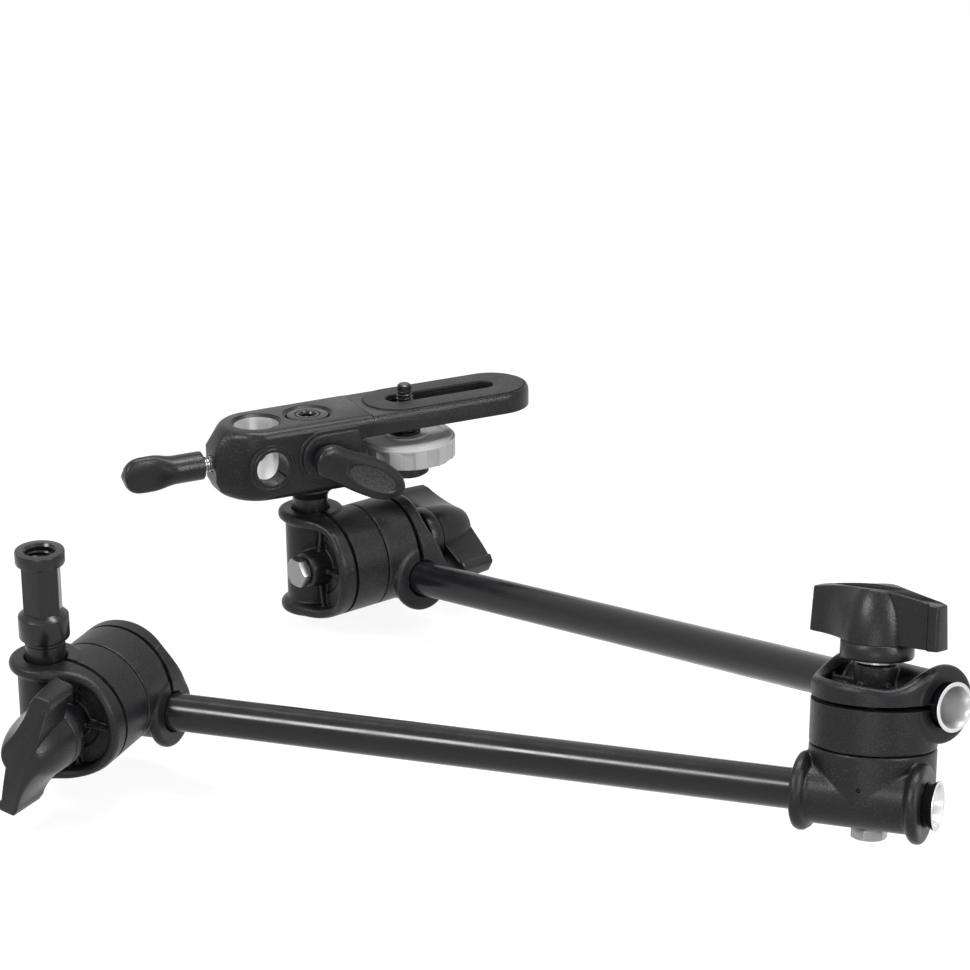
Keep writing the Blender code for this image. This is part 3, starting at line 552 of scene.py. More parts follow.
class Pattern:
    """Shader node groups that several finishes share, each built once."""

    _made: dict[str, bpy.types.NodeTree] = {}

    @classmethod
    def _group(
        cls, name: str, inputs: dict[str, str], outputs: dict[str, str]
    ) -> tuple[bpy.types.NodeTree, NodeSheet, bpy.types.Node]:
        """New group with its sockets, an empty sheet on it and its input node."""
        tree = bpy.data.node_groups.new(name, "ShaderNodeTree")
        for in_out, sockets in (("INPUT", inputs), ("OUTPUT", outputs)):
            for socket, kind in sockets.items():
                tree.interface.new_socket(
                    name=socket, in_out=in_out, socket_type="NodeSocket" + kind
                )
        cls._made[name] = tree
        sheet = NodeSheet(tree)
        return tree, sheet, sheet.add("NodeGroupInput")

    @classmethod
    def skin(cls) -> bpy.types.NodeTree:
        """Grain of a moulding or of sprayed paint: fine bumps, pale flecks and cloudy gloss."""
        if "moulded_skin" in cls._made:
            return cls._made["moulded_skin"]
        tree, sheet, given = cls._group(
            "moulded_skin",
            {"Position": "Vector", "Shade": "Color", "Fleck": "Color", "Grain": "Float",
             "Fleck Share": "Float", "Roughness": "Float"},
            {"Colour": "Color", "Roughness": "Float", "Height": "Float"},
        )
        position, grain = given.outputs["Position"], given.outputs["Grain"]
        fine = sheet.noise(position, grain, 3.0)
        coarse = sheet.noise(position, sheet.maths("MULTIPLY", grain, 0.31), 2.0)
        cloud = sheet.noise(position, 55.0, 3.0)
        fleck = sheet.span(fine, 0.56, 0.74, (0.0, 1.0))
        patch = sheet.span(cloud, 0.38, 0.66, (0.25, 1.0))
        patch = sheet.maths("MULTIPLY", patch, given.outputs["Fleck Share"])
        share = sheet.maths("MULTIPLY", fleck, patch)
        mixed = sheet.blend(share, given.outputs["Shade"], given.outputs["Fleck"])
        cloudy = sheet.span(cloud, 0.3, 0.7, (-0.06, 0.06))
        rough = sheet.maths("ADD", given.outputs["Roughness"], cloudy)
        rough = sheet.maths("ADD", rough, sheet.span(fine, 0.3, 0.7, (-0.05, 0.05)))
        fine, coarse = sheet.maths("MULTIPLY", fine, 0.6), sheet.maths("MULTIPLY", coarse, 0.4)
        height = sheet.maths("ADD", fine, coarse)
        sheet.add("NodeGroupOutput", {"Colour": mixed, "Roughness": rough, "Height": height})
        return tree

    @classmethod
    def rub_and_highlight(cls) -> bpy.types.NodeTree:
        """Mask of slightly paler edges, broken up by noise: partly rubbed wear, partly a painted
        highlight along the edges.
        """
        if "edge_rub_and_highlight" in cls._made:
            return cls._made["edge_rub_and_highlight"]
        tree, sheet, given = cls._group("edge_rub_and_highlight", {"Position": "Vector"}, {"Mask": "Float"})
        raised = sheet.add("ShaderNodeNewGeometry").outputs["Pointiness"]
        edge = sheet.span(raised, 0.515, 0.60, (0.0, 1.0))
        edge_breakup = sheet.noise(given.outputs["Position"], 420.0, 2.0)
        broken = sheet.span(edge_breakup, 0.35, 0.62, (0.2, 1.0))
        sheet.add("NodeGroupOutput", {"Mask": sheet.maths("MULTIPLY", edge, broken)})
        return tree

    @classmethod
    def lines(cls) -> bpy.types.NodeTree:
        """Fine tool marks round the Z axis of a turned piece, with faint scratches."""
        if "turning_marks" in cls._made:
            return cls._made["turning_marks"]
        tree, sheet, given = cls._group(
            "turning_marks",
            {"Position": "Vector", "Shade": "Color", "Pale": "Color", "Roughness": "Float"},
            {"Colour": "Color", "Roughness": "Float", "Height": "Float"},
        )
        position = given.outputs["Position"]
        rings = sheet.add("ShaderNodeMapping", {"Vector": position, "Scale": (8.0, 8.0, 5200.0)})
        fine = sheet.noise(rings.outputs[0], 1.0, 2.0)
        streak = sheet.add("ShaderNodeMapping", {"Vector": position, "Scale": (900.0, 900.0, 60.0)})
        scratch = sheet.span(sheet.noise(streak.outputs[0], 1.0, 3.0), 0.6, 0.75, (0.0, 1.0))
        cloud = sheet.noise(position, 90.0, 3.0)
        faint = sheet.maths("MULTIPLY", scratch, 0.2)
        tone = sheet.maths("ADD", sheet.span(fine, 0.35, 0.65, (0.0, 0.5)), faint)
        tone = sheet.maths("MULTIPLY", tone, sheet.span(cloud, 0.3, 0.7, (0.5, 1.0)))
        mixed = sheet.blend(tone, given.outputs["Shade"], given.outputs["Pale"])
        cloudy = sheet.span(cloud, 0.3, 0.7, (-0.05, 0.07))
        rough = sheet.maths("ADD", given.outputs["Roughness"], cloudy)
        height = sheet.maths("ADD", fine, sheet.maths("MULTIPLY", scratch, 0.3))
        sheet.add("NodeGroupOutput", {"Colour": mixed, "Roughness": rough, "Height": height})
        return tree


@dataclass(frozen=True)
class Finish:
    """One kind of surface: its colours, gloss and pattern, in the row frame's metres."""

    name: str
    slot: str
    texture: Texture
    shade: tuple[float, float, float]
    fleck: tuple[float, float, float]
    roughness: float
    metallic: float = 0.0
    grain: float = 2600.0
    share: float = 0.5
    bump: float = 0.3
    depth: float = 0.00006
    specular: float = 0.5
    # Strength of the paler edges: partly rubbed wear, partly a painted highlight.
    rub_and_highlight: float = 0.0

    def material(self, where: Optional[Matrix] = None) -> bpy.types.Material:
        """Material of this finish.

        Args:
            where: Frame whose Z axis the tool marks go round, for a turned surface.

        Returns:
            The material, with its pattern on Object coordinates.
        """
        made = bpy.data.materials.new(self.name)
        made.use_nodes = True
        sheet = NodeSheet(made.node_tree)
        position = sheet.add("ShaderNodeTexCoord").outputs["Object"]
        if where is not None:
            back = (where @ Matrix.Scale(1 / MM, 4)).inverted()
            mapping = sheet.add("ShaderNodeMapping", {"Vector": position})
            mapping.inputs["Location"].default_value = back.translation
            mapping.inputs["Rotation"].default_value = back.to_euler()
            position = mapping.outputs[0]
        group = sheet.add("ShaderNodeGroup")
        shade, fleck = (*self.shade, 1.0), (*self.fleck, 1.0)
        if self.texture is Texture.TURNED:
            group.node_tree = Pattern.lines()
            values = {"Shade": shade, "Pale": fleck}
        else:
            group.node_tree = Pattern.skin()
            values = {"Shade": shade, "Fleck": fleck, "Grain": self.grain}
            values["Fleck Share"] = self.share
        for name, value in {**values, "Roughness": self.roughness}.items():
            group.inputs[name].default_value = value
        sheet.tree.links.new(position, group.inputs["Position"])
        colour, height = group.outputs["Colour"], group.outputs["Height"]
        if self.texture is Texture.PEBBLED:
            values = {"Vector": position, "Scale": self.grain * 0.45}
            pebble = sheet.add("ShaderNodeTexVoronoi", values)
            dome = sheet.span(pebble.outputs["Distance"], 0.0, 0.6, (1.0, 0.0))
            height = sheet.maths("ADD", dome, sheet.maths("MULTIPLY", height, 0.3))
            colour = sheet.blend(sheet.maths("MULTIPLY", dome, 0.4), colour, fleck)
        # Paler convex edges: partly rubbed wear, partly a painted highlight.
        if self.rub_and_highlight:
            worn_and_highlit = sheet.add("ShaderNodeGroup", node_tree=Pattern.rub_and_highlight())
            sheet.tree.links.new(position, worn_and_highlit.inputs["Position"])
            mask = sheet.maths("MULTIPLY", worn_and_highlit.outputs["Mask"], self.rub_and_highlight)
            colour = sheet.blend(mask, colour, WORN_AND_HIGHLIT_EDGE)
        values = {"Strength": self.bump, "Distance": self.depth, "Height": height}
        bump = sheet.add("ShaderNodeBump", values)
        shader = sheet.add(
            "ShaderNodeBsdfPrincipled",
            {"Base Color": colour, "Roughness": group.outputs["Roughness"],
             "Normal": bump.outputs["Normal"]},
        )
        shader.inputs["Metallic"].default_value = self.metallic
        shader.inputs["Specular IOR Level"].default_value = self.specular
        sheet.add("ShaderNodeOutputMaterial", {"Surface": shader.outputs[0]})
        return made


MOULDED = Finish(
    "clamp_moulding", "moulded_black", Texture.MOULDED,
    (0.006, 0.006, 0.007), (0.105, 0.105, 0.105), 0.37,
    # The clamp halves' edges turn paler: partly rubbed wear, partly a painted highlight.
    grain=1900, share=0.36, bump=0.95, depth=0.00016, specular=0.22, rub_and_highlight=0.20,
)
KNOB = Finish(
    "knob_moulding", "knob_black", Texture.MOULDED, (0.006, 0.006, 0.007), (0.080, 0.080, 0.080),
    0.31, grain=2300, share=0.28, bump=0.80, depth=0.00011, specular=0.26,
)
TUBE_SKIN = Finish(
    "tube_anodising", "anodised_black", Texture.TURNED,
    (0.005, 0.005, 0.006), (0.010, 0.010, 0.011), 0.20, bump=0.10, depth=0.00001, specular=0.28,
)
BARE = Finish(
    "bare_aluminium", "anodised_black", Texture.TURNED, (0.62, 0.62, 0.62), (0.80, 0.80, 0.80),
    0.30, metallic=1.0, bump=0.25, depth=0.00002,
)
BARE_SOCKET = Finish(
    "machined_bore", "painted_casting", Texture.TURNED, (0.84, 0.84, 0.84), (0.95, 0.95, 0.95),
    0.34, metallic=1.0, bump=0.20, depth=0.00002,
)
ZINC = Finish(
    "zinc_plating", "zinc_steel", Texture.TURNED, (0.24, 0.24, 0.24), (0.46, 0.46, 0.46),
    0.30, metallic=1.0, bump=0.25, depth=0.00002,
)
BLACK_STEEL = Finish(
    "black_plating", "blackened_steel", Texture.TURNED,
    (0.005, 0.005, 0.005), (0.012, 0.012, 0.012), 0.27, bump=0.12, depth=0.00001, specular=0.34,
)
CASTING = Finish(
    "casting_paint", "painted_casting", Texture.MOULDED, (0.006, 0.006, 0.007), (0.12, 0.12, 0.12),
    0.33, grain=1900, share=0.32, bump=0.95, depth=0.00016, specular=0.24,
)
PAD = Finish(
    "pad_rubber", "textured_pad", Texture.PEBBLED, (0.010, 0.010, 0.011), (0.055, 0.055, 0.055),
    0.55, grain=3600, share=0.6, bump=0.7, depth=0.00015, specular=0.24,
)
INSET = Finish(
    "lever_inset", "knob_black", Texture.PEBBLED, (0.009, 0.009, 0.010), (0.10, 0.10, 0.10),
    0.42, grain=4200, share=0.6, bump=0.9, depth=0.00018, specular=0.34,
)
GREY = Finish(
    "wheel_plastic", "grey_wheel", Texture.MOULDED, (0.27, 0.27, 0.27), (0.38, 0.38, 0.38),
    0.46, grain=1800, share=0.35, bump=0.2, depth=0.00004,
)


def hand_over(
    piece: bpy.types.Object,
    where: Matrix,
    body: str,
    nodes: Sequence[str],
    finish: Finish,
    second: Optional[Finish] = None,
    inside: Optional[Callable[[Vector, Vector], bool]] = None,
    lathe_frame: Optional[Matrix] = None,
    smooth: float = 32.0,
) -> bpy.types.Object:
    """Dress a piece, set it in its place and let it ride on its body.

    Args:
        piece: Mesh in millimetres in its local frame.
        where: Local frame in the row frame.
        body: Body of the frame that it moves with.
        nodes: Nodes of the frame that it stands for.
        finish: Finish of the piece.
        second: Finish of the faces that inside picks.
        inside: Says from a face's centre and normal, both local, whether it has the second finish.
        lathe_frame: Frame that the tool marks go round, where it isn't the local one.
        smooth: Angle in degrees past which an edge stays sharp.

    Returns:
        The piece.
    """
    marks = lathe_frame if lathe_frame is not None else where
    piece.data.materials.clear()
    for kind in [finish] + ([second] if second else []):
        turned = kind.texture is Texture.TURNED
        piece.data.materials.append(kind.material(marks if turned else None))
    for polygon in piece.data.polygons:
        picked = second is not None and inside(polygon.center, polygon.normal)
        polygon.material_index = 1 if picked else 0
    piece.data.transform(where)
    Bench.take(piece)
    bpy.ops.object.shade_smooth_by_angle(angle=math.radians(smooth))
    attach(piece, body)
    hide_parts(*nodes)
    LOG.info("%s rides on %s with %d faces", piece.name, body, len(piece.data.polygons))
    return piece


# Sub-assemblies


@dataclass
class ClampHalf:
    """Moulded half of a disc joint: friction disc, split loop for a rod and a ribbed cover."""

    disc_radius: float = 19.5
    face: float = 0.15
    rim_height: float = 20.4
    rim_far_rise: float = 1.0
    rim_width: float = 3.6
    floor_height: float = 17.3
    floor_step: float = 0.8
    boss_radius: float = 6.6
    boss_height: float = 25.2
    rib_width: float = 1.5
    rib_height: float = 19.4
    rib_angles: tuple[float, ...] = (0.0, 80.0, -80.0)
    loop_radius: float = 9.6
    loop_half: float = LOOP_HALF
    bead_radius: float = 12.2
    bead_width: float = 4.8
    slit_outer: float = 1.3
    slit_inner: float = 2.2
    bolt_radius: float = 2.9
    voxel: float = 0.36

    def core(self) -> bpy.types.Object:
        """Disc with the floor and boss of its cover."""
        floor, boss = self.floor_height, self.boss_radius
        low_floor = floor - self.floor_step
        return Bench.lathe(
            "half",
            [
                (boss - 0.6, self.boss_height), (boss, self.boss_height - 0.5),
                (boss + 0.2, low_floor), (boss + 3.6, low_floor), (boss + 4.0, floor),
                (self.disc_radius - 0.6, floor),
                (self.disc_radius, floor - 0.5), (self.disc_radius, self.face + 0.3),
                (self.disc_radius - 0.3, self.face),
            ],
            96,
        )

    def loop(self) -> bpy.types.Object:
        """Barrel round the rod with a thick rounded bead at each end."""
        half, inner = self.loop_half, self.loop_half - self.bead_width
        bead = [
            (self.bead_radius - 1.5, half), (self.bead_radius - 0.45, half - 0.45),
            (self.bead_radius, half - 1.5), (self.bead_radius - 0.1, half - 2.9),
            (self.bead_radius - 1.0, half - 3.9), (self.loop_radius, inner),
        ]
        profile = bead + [(radius, -station) for radius, station in reversed(bead)]
        return Bench.lathe("loop", profile, 72, Along.Y, (-ROD_OFFSET, 0, ROD_HEIGHT))

    def rim(self) -> bpy.types.Object:
        """Wall of the cover: round the disc, then rising in an S into the bead at each side."""
        outer, base = self.disc_radius, ROD_HEIGHT + 0.5
        top = ROD_HEIGHT + self.bead_radius - 0.1
        rings = []
        straight, bend = 9, 40
        run = ROD_OFFSET
        for i in range(2 * straight + bend + 1):
            side = 1 if i <= straight + bend / 2 else -1
            if i < straight:
                across, out = (-run + run * i / straight, 0.0), (0.0, 1.0)
            elif i > straight + bend:
                across, out = (-run * (i - straight - bend) / straight, 0.0), (0.0, -1.0)
            else:
                angle = math.radians(90 - 180 * (i - straight) / bend)
                across, out = (0.0, 0.0), (math.cos(angle), math.sin(angle))
            x = across[0] + outer * out[0]
            fall = ease((x + run) / (run + 13.0))
            far_rise = self.rim_far_rise * ease((x - 10) / 9.5)
            crest = top + (self.rim_height - top) * fall + far_rise
            width = self.bead_width + (self.rim_width - self.bead_width) * fall
            reach = outer + (self.loop_half - outer) * (1 - fall)
            curl = width / 2
            section = [
                (reach - width, base), (reach - width, crest - curl),
                (reach - width + 0.3 * curl, crest - 0.3 * curl), (reach - width / 2, crest),
                (reach - 0.3 * curl, crest - 0.3 * curl), (reach, crest - curl), (reach, base),
            ]
            rings.append([(across[0] + u * out[0], u * out[1], v) for u, v in section])
        return Bench.loft("rim", rings)

    def ribs(self) -> list[bpy.types.Object]:
        """Radial ribs between the boss and the rim."""
        made = []
        for angle in self.rib_angles:
            rib = Bench.bar(
                "rib",
                (self.boss_radius - 1.0, -self.rib_width / 2, self.floor_height - 2.0),
                (self.disc_radius - self.rim_width + 1.0, self.rib_width / 2, self.rib_height),
            )
            rib.data.transform(Matrix.Rotation(math.radians(angle), 4, "Z"))
            made.append(rib)
        return made

    def blank(self) -> bpy.types.Object:
        """The half as moulded, before its slit and bores."""
        half = Bench.gather(self.core(), self.loop(), self.rim(), *self.ribs())
        return Bench.soften(half, self.voxel, 5)

    def bored(self, blank: bpy.types.Object, name: str, rod_radius: float) -> bpy.types.Object:
        """Copy of the blank with its slit, rod bore, bolt hole and ejector dimple.

        Args:
            blank: The half as moulded.
            name: Name of the copy.
            rod_radius: Radius of the rod that it grips.

        Returns:
            The bored half.
        """
        half = Bench.copy(blank, name)
        reach = self.disc_radius + 4
        wedge = [
            (-ROD_OFFSET, -self.slit_inner / 2), (reach, -self.slit_outer / 2),
            (reach, self.slit_outer / 2), (-ROD_OFFSET, self.slit_inner / 2),
        ]
        slit = Bench.stand(Bench.plate("slit", wedge, -TOOL_REACH, TOOL_REACH))
        slit.data.transform(Matrix.Translation((0, 0, ROD_HEIGHT)))
        bore, end = rod_radius + RUNNING_GAP, self.loop_half
        bore_tool = Bench.lathe(
            "bore",
            [
                (bore + 1.1, -end - 0.6), (bore, -end + 0.6), (bore, end - 0.6),
                (bore + 1.1, end + 0.6),
            ],
            64, Along.Y, (-ROD_OFFSET, 0, ROD_HEIGHT),
        )
        hole = Bench.rod("hole", self.bolt_radius + RUNNING_GAP, -2, self.boss_height + 2)
        dimple = Bench.rod("dimple", 0.8, -1.0, 1.0, Along.X, (-self.disc_radius, 1.6, 10.4), 20)
        return Bench.boolean(Boolean.CUT, half, slit, bore_tool, hole, dimple)


@dataclass
class WingKnob:
    """Wing knob: a bell-shaped hub on a collar, with two wings that are flat on one side."""

    height: float = 21.8
    collar_radius: float = 11.3
    collar_height: float = 5.2
    reach: float = 24.4
    tip_drop: float = 2.8
    flat_side: float = 4.6
    post_side: float = 5.6
    post_length: float = 3.8
    back_side: float = 2.9
    back_length: float = 3.6
    hub_radius: float = 11.1
    crown_half: float = 6.9
    leave_low: float = 50.0
    leave_rise: float = 12.0
    levels: tuple[float, ...] = (
        0.0, 0.08, 0.18, 0.28, 0.38, 0.48, 0.58, 0.67, 0.75, 0.82, 0.88, 0.94, 1.0
    )

    def outline(self, share: float) -> list[Flat]:
        """Plan of the hub and wings at a height.

        Args:
            share: 0 at the collar, 1 at the crown.

        Returns:
            Points of the plan, once round.
        """
        narrowing = 1 - (self.crown_half / self.hub_radius) ** 2
        radius = self.hub_radius * math.sqrt(max(0.0, 1 - share**2.1 * narrowing))
        crease = math.acos(min(1.0, self.flat_side / radius))
        turns = (crease * i / 10 for i in range(11))
        hub = [(radius * math.sin(a), -radius * math.cos(a)) for a in turns]
        tip, end = self.reach, self.reach - self.post_length
        start = max(hub[-1][0] + 0.8, 0)
        panel = [(start + (end - 2.2 - start) * i / 8, -self.flat_side) for i in range(9)]
        back = self.back_side * (1 - 0.45 * share)
        post = rounded(
            [(end - 2.0, -self.flat_side, 0), (end - 0.6, -self.flat_side, 0.9),
             (end + 0.2, -self.post_side, 0.9), (tip, -self.post_side, 1.5), (tip, back, 1.7),
             (tip - self.back_length, back, 0)],
        )
        leave = math.radians(self.leave_low + self.leave_rise * share)
        on_hub = (radius * math.cos(leave), radius * math.sin(leave))
        pull = (tip - self.back_length - on_hub[0]) * 0.9
        arriving = (-pull * math.sin(leave), pull * math.cos(leave))
        hollow = sweep((tip - self.back_length, back), (-pull, 0.0), on_hub, arriving, 16)
        shoulder = [
            (radius * math.cos(a), radius * math.sin(a))
            for a in (leave + (math.pi / 2 - leave) * i / 7 for i in range(1, 7))
        ]
        side = [*hub, *panel, *post, *hollow, *shoulder]
        return side + [(-x, -y) for x, y in side]

    def wings(self) -> bpy.types.Object:
        """Hub and wings, lofted from the collar to the crown."""
        low = self.collar_height + 0.3
        rings = []
        for share in self.levels:
            ring = []
            for x, y in self.outline(share):
                drop = self.tip_drop * min(1.0, abs(x) / self.reach) ** 1.6
                ring.append((x, y, low + (self.height - drop - low) * share))
            rings.append(ring)
        made = Bench.loft("wings", rings)
        last_ring = list(made.data.vertices)[-len(rings[0]):]
        top = {tuple(round(c, 3) for c in vertex.co) for vertex in last_ring}

        def on_crown(a: Vector, b: Vector) -> bool:
            """True for an edge of the last ring."""
            return all(tuple(round(c, 3) for c in end) in top for end in (a, b))

        def on_foot(a: Vector, b: Vector) -> bool:
            """True for an edge of the wings' underside."""
            return max(a.z, b.z) < low + 0.01 and max(a.xy.length, b.xy.length) > 12

        Bench.bevel_where(made, on_crown, 1.1, 4)
        return Bench.bevel_where(made, on_foot, 0.5, 2)

    def build(self, name: str) -> bpy.types.Object:
        """The knob with its seat at z = 0."""
        radius, high = self.collar_radius, self.collar_height
        collar = Bench.lathe(
            name,
            [
                (radius - 1.0, 0), (radius - 0.3, 0.25), (radius, 0.9), (radius, high - 0.35),
                (radius - 0.25, high), (radius - 0.5, high + 0.1), (radius - 0.5, high + 0.9),
            ],
            96,
        )
        knob = Bench.boolean(Boolean.WELD, collar, self.wings())
        hole = Bench.rod("hole", 3.2, -1, 12.3)
        top = self.height
        dimple = Bench.lathe("dimple", [(0.5, top - 1.3), (0.85, top - 0.2), (1.2, top + 0.6)], 24)
        knob = Bench.boolean(Boolean.CUT, knob, hole, dimple)
        profile = [(1.0, radius - 0.4), (0.9, radius + 0.15), (0.4, radius + 0.3)]
        nub = Bench.lathe("nub", profile, 20, Along.X, (0, 0, 1.9))
        nub.data.transform(Matrix.Rotation(math.radians(-64), 4, "Z"))
        return Bench.gather(knob, nub)


@dataclass
class Fastener:
    """Hexagon bolt and plain washer of a disc joint."""

    flats: float = 10.0
    head_height: float = 4.0
    shank_radius: float = 2.9
    thread_engagement: float = 12.0
    thread_depth: float = 0.45
    washer_radius: float = 6.8
    washer_thickness: float = 1.0

    def bolt(self, name: str) -> bpy.types.Object:
        """Bolt with a chamfered hexagon head, a washer face and a shank with its thread."""
        low, high = WASHER_SEAT, WASHER_SEAT + self.head_height
        corner = self.flats / math.sqrt(3)
        head = Bench.plate(name, arc((0, 0), corner, 0, 300, 5), low + 0.35, high)
        flats = self.flats
        profile = [(flats * 0.60, low), (flats * 0.60, high - 0.75), (flats * 0.46, high + 0.05)]
        crown = Bench.lathe("crown", profile, 64)
        Bench.boolean(Boolean.COMMON, head, crown)
        Bench.bevel_where(head, lambda a, b: True, 0.12, 2)
        profile = [(flats * 0.47, low), (flats * 0.48, low + 0.1), (flats * 0.48, low + 0.5)]
        face = Bench.lathe("face", profile, 48)
        end = -(KNOB_SEAT + self.thread_engagement)
        radius, root = self.shank_radius, self.shank_radius - self.thread_depth
        profile = [(radius, low + 0.2), (radius, end + 14), (root, end + 13.4), (root, end)]
        shank = Bench.lathe("shank", profile, 40)
        ridge = Bench.thread("ridge", radius, self.thread_depth, 1.0, end + 0.8, end + 13.2)
        return Bench.gather(head, face, shank, ridge)

    def washer(self, name: str) -> bpy.types.Object:
        """Stamped washer with one soft edge."""
        low, high = WASHER_SEAT, WASHER_SEAT + self.washer_thickness
        outer, inner = self.washer_radius, self.shank_radius + RUNNING_GAP
        profile = [
            (inner, low), (outer - 0.1, low), (outer, low + 0.1), (outer, high - 0.25),
            (outer - 0.25, high), (inner + 0.15, high), (inner, high - 0.15),
        ]
        return Bench.lathe(name, profile, 72, closed=True)


@dataclass
class DiscJoint:
    """Lockable joint: two clamp halves, a bolt in one, a washer and a wing knob on the other."""

    name: str
    knob_half: str
    knob_rod: str
    bolt_half: str
    bolt_rod: str
    knob_turn: float

    def build(
        self, blanks: dict[str, bpy.types.Object], knob: bpy.types.Object, fastener: Fastener
    ) -> None:
        """Place copies of the shared pieces on the two bodies of the joint.

        Args:
            blanks: Bored half for each rod joint name.
            knob: Knob to copy.
            fastener: Maker of the bolt and washer.
        """
        name = self.name
        knob_side = clamp_place(name + "_turn", self.knob_rod)
        bolt_side = clamp_place(name + "_turn", self.bolt_rod)
        for body, rod, where in (
            (self.knob_half, self.knob_rod, knob_side),
            (self.bolt_half, self.bolt_rod, bolt_side),
        ):
            node = body + "_half"
            piece = Bench.copy(blanks[rod], node + "_dressed")
            hand_over(piece, where, body, [node], MOULDED)
        bolt = fastener.bolt(name + "_bolt_dressed")
        hand_over(bolt, bolt_side, self.bolt_half, [name + "_bolt"], ZINC, smooth=25)
        washer = fastener.washer(name + "_washer_dressed")
        hand_over(washer, knob_side, self.knob_half, [name + "_washer"], ZINC)
        wing = Bench.copy(knob, name + "_knob_dressed")
        seat = turned_place(knob_side, (0, 0, KNOB_SEAT), self.knob_turn)
        hand_over(wing, seat, name + "_knob", [name + "_knob"], KNOB, smooth=38)


@dataclass
class ArmTube:
    """Anodised tube with flared, bare-cut ends."""

    name: str
    rod_joint: str
    first_disc: str
    second_disc: str
    radius: float = 6.35
    wall: float = 1.1
    overhang: float = 23.6
    flare_radius: float = 7.7
    flare_length: float = 2.6

    def frame(self) -> tuple[Matrix, float]:
        """Frame with Z along the tube from its first loop, and the span to the second loop."""
        loop = Vector((-ROD_OFFSET, 0, ROD_HEIGHT))
        discs = (self.first_disc, self.second_disc)
        ends = [clamp_place(disc, self.rod_joint) @ loop for disc in discs]
        z = (ends[1] - ends[0]).normalized()
        x = z.cross(Vector((0, 0, 1))).normalized()
        return place(ends[0], x, z.cross(x), z), (ends[1] - ends[0]).length / MM

    def build(self) -> None:
        """Turn the tube, flare its ends and leave its mouths bare."""
        where, span = self.frame()
        inside = self.radius - self.wall
        flare = self.flare_radius - self.radius
        low, high = -self.overhang, span + self.overhang
        end = [
            (inside + flare - 0.1, high), (self.flare_radius - 0.12, high),
            (self.flare_radius, high - 0.12), (self.flare_radius - 0.35, high - 0.8),
            (self.radius + 0.35, high - 1.8), (self.radius, high - self.flare_length),
        ]
        mirrored = [(radius, low + high - station) for radius, station in reversed(end)]
        bore = [(inside, low + self.flare_length + 0.4), (inside, high - self.flare_length - 0.4)]
        tube = Bench.lathe(self.name + "_dressed", end + mirrored + bore, 96, closed=True)

        def bare(centre: Vector, normal: Vector) -> bool:
            """True in the bore and on the cut ends."""
            across = Vector((centre.x, centre.y, 0))
            cut_end = centre.z > high - 0.15 or centre.z < low + 0.15
            return cut_end or across.dot(normal) < 0

        hand_over(tube, where, self.name, [self.name], TUBE_SKIN, BARE, bare)


@dataclass
class BaseStud:
    """Stud that a clamp or a stand holds: threaded head, hexagon waist, collar and shank."""

    head_radius: float = 8.1
    head_height: float = 4.5
    waist_flats: float = 11.8
    waist_length: float = 17.8
    collar_radius: float = 8.3
    collar_height: float = 9.1
    neck: float = 6.5
    shank_radius: float = 6.6
    thread_radius: float = 4.2
    thread_depth: float = 14.0

    def build(self) -> None:
        """Turn the stud, weld on its hexagon and cut its thread."""
        waist_low = -self.head_height - self.waist_length
        collar_low = waist_low - self.collar_height
        end = collar_low - self.neck - 2 * LOOP_HALF - STUD_OVERHANG
        collar, shank = self.collar_radius, self.shank_radius
        stud = Bench.lathe(
            "base_stud_dressed",
            [
                (self.waist_flats / 2 - 0.2, waist_low + 1.0),
                (self.waist_flats / 2 + 0.7, waist_low + 0.55),
                (collar - 0.5, waist_low - 0.35), (collar - 0.1, waist_low - 0.75),
                (collar, waist_low - 1.1), (collar, collar_low + 1.1),
                (collar - 0.15, collar_low + 0.7), (collar - 1.3, collar_low - 0.1),
                (shank - 0.25, collar_low - 0.35), (shank - 0.25, collar_low - 1.2),
                (shank, collar_low - 1.4), (shank, end + 0.7), (shank - 0.6, end),
            ],
            96,
        )
        corner = self.waist_flats / math.sqrt(3)
        hexagon = arc((0, 0), corner, -6, 294, 5)
        waist = Bench.plate("waist", hexagon, waist_low - 1.6, -self.head_height + 1)
        waist = Bench.bevel_where(waist, lambda a, b: abs(a.z - b.z) > 1, 0.25, 2)
        wide, foot = self.head_radius, -self.head_height
        profile = [
            (self.thread_radius + 0.9, 0), (wide - 0.6, 0), (wide - 0.15, -0.12), (wide, -0.5),
            (wide, foot + 0.6), (wide - 0.2, foot + 0.1), (wide - 0.7, foot),
        ]
        head = Bench.lathe("head", profile, 96)
        stud = Bench.boolean(Boolean.WELD, stud, waist, head)
        radius, depth = self.thread_radius + 0.55, self.thread_depth
        profile = [
            (radius + 1.2, 0.5), (radius + 0.5, -0.2), (radius, -0.9), (radius, -depth),
            (0.3, -depth - 2),
        ]
        hole = Bench.lathe("hole", profile)
        stud = Bench.boolean(Boolean.CUT, stud, hole)
        ridge = Bench.thread("ridge", radius, 0.6, 1.59, -depth + 1, -1.7, inward=True)
        stud = Bench.gather(stud, ridge)
        upright = Matrix.Scale(MM, 4)
        hand_over(stud, upright, "base_stud", ["base_stud"], BLACK_STEEL, smooth=28)


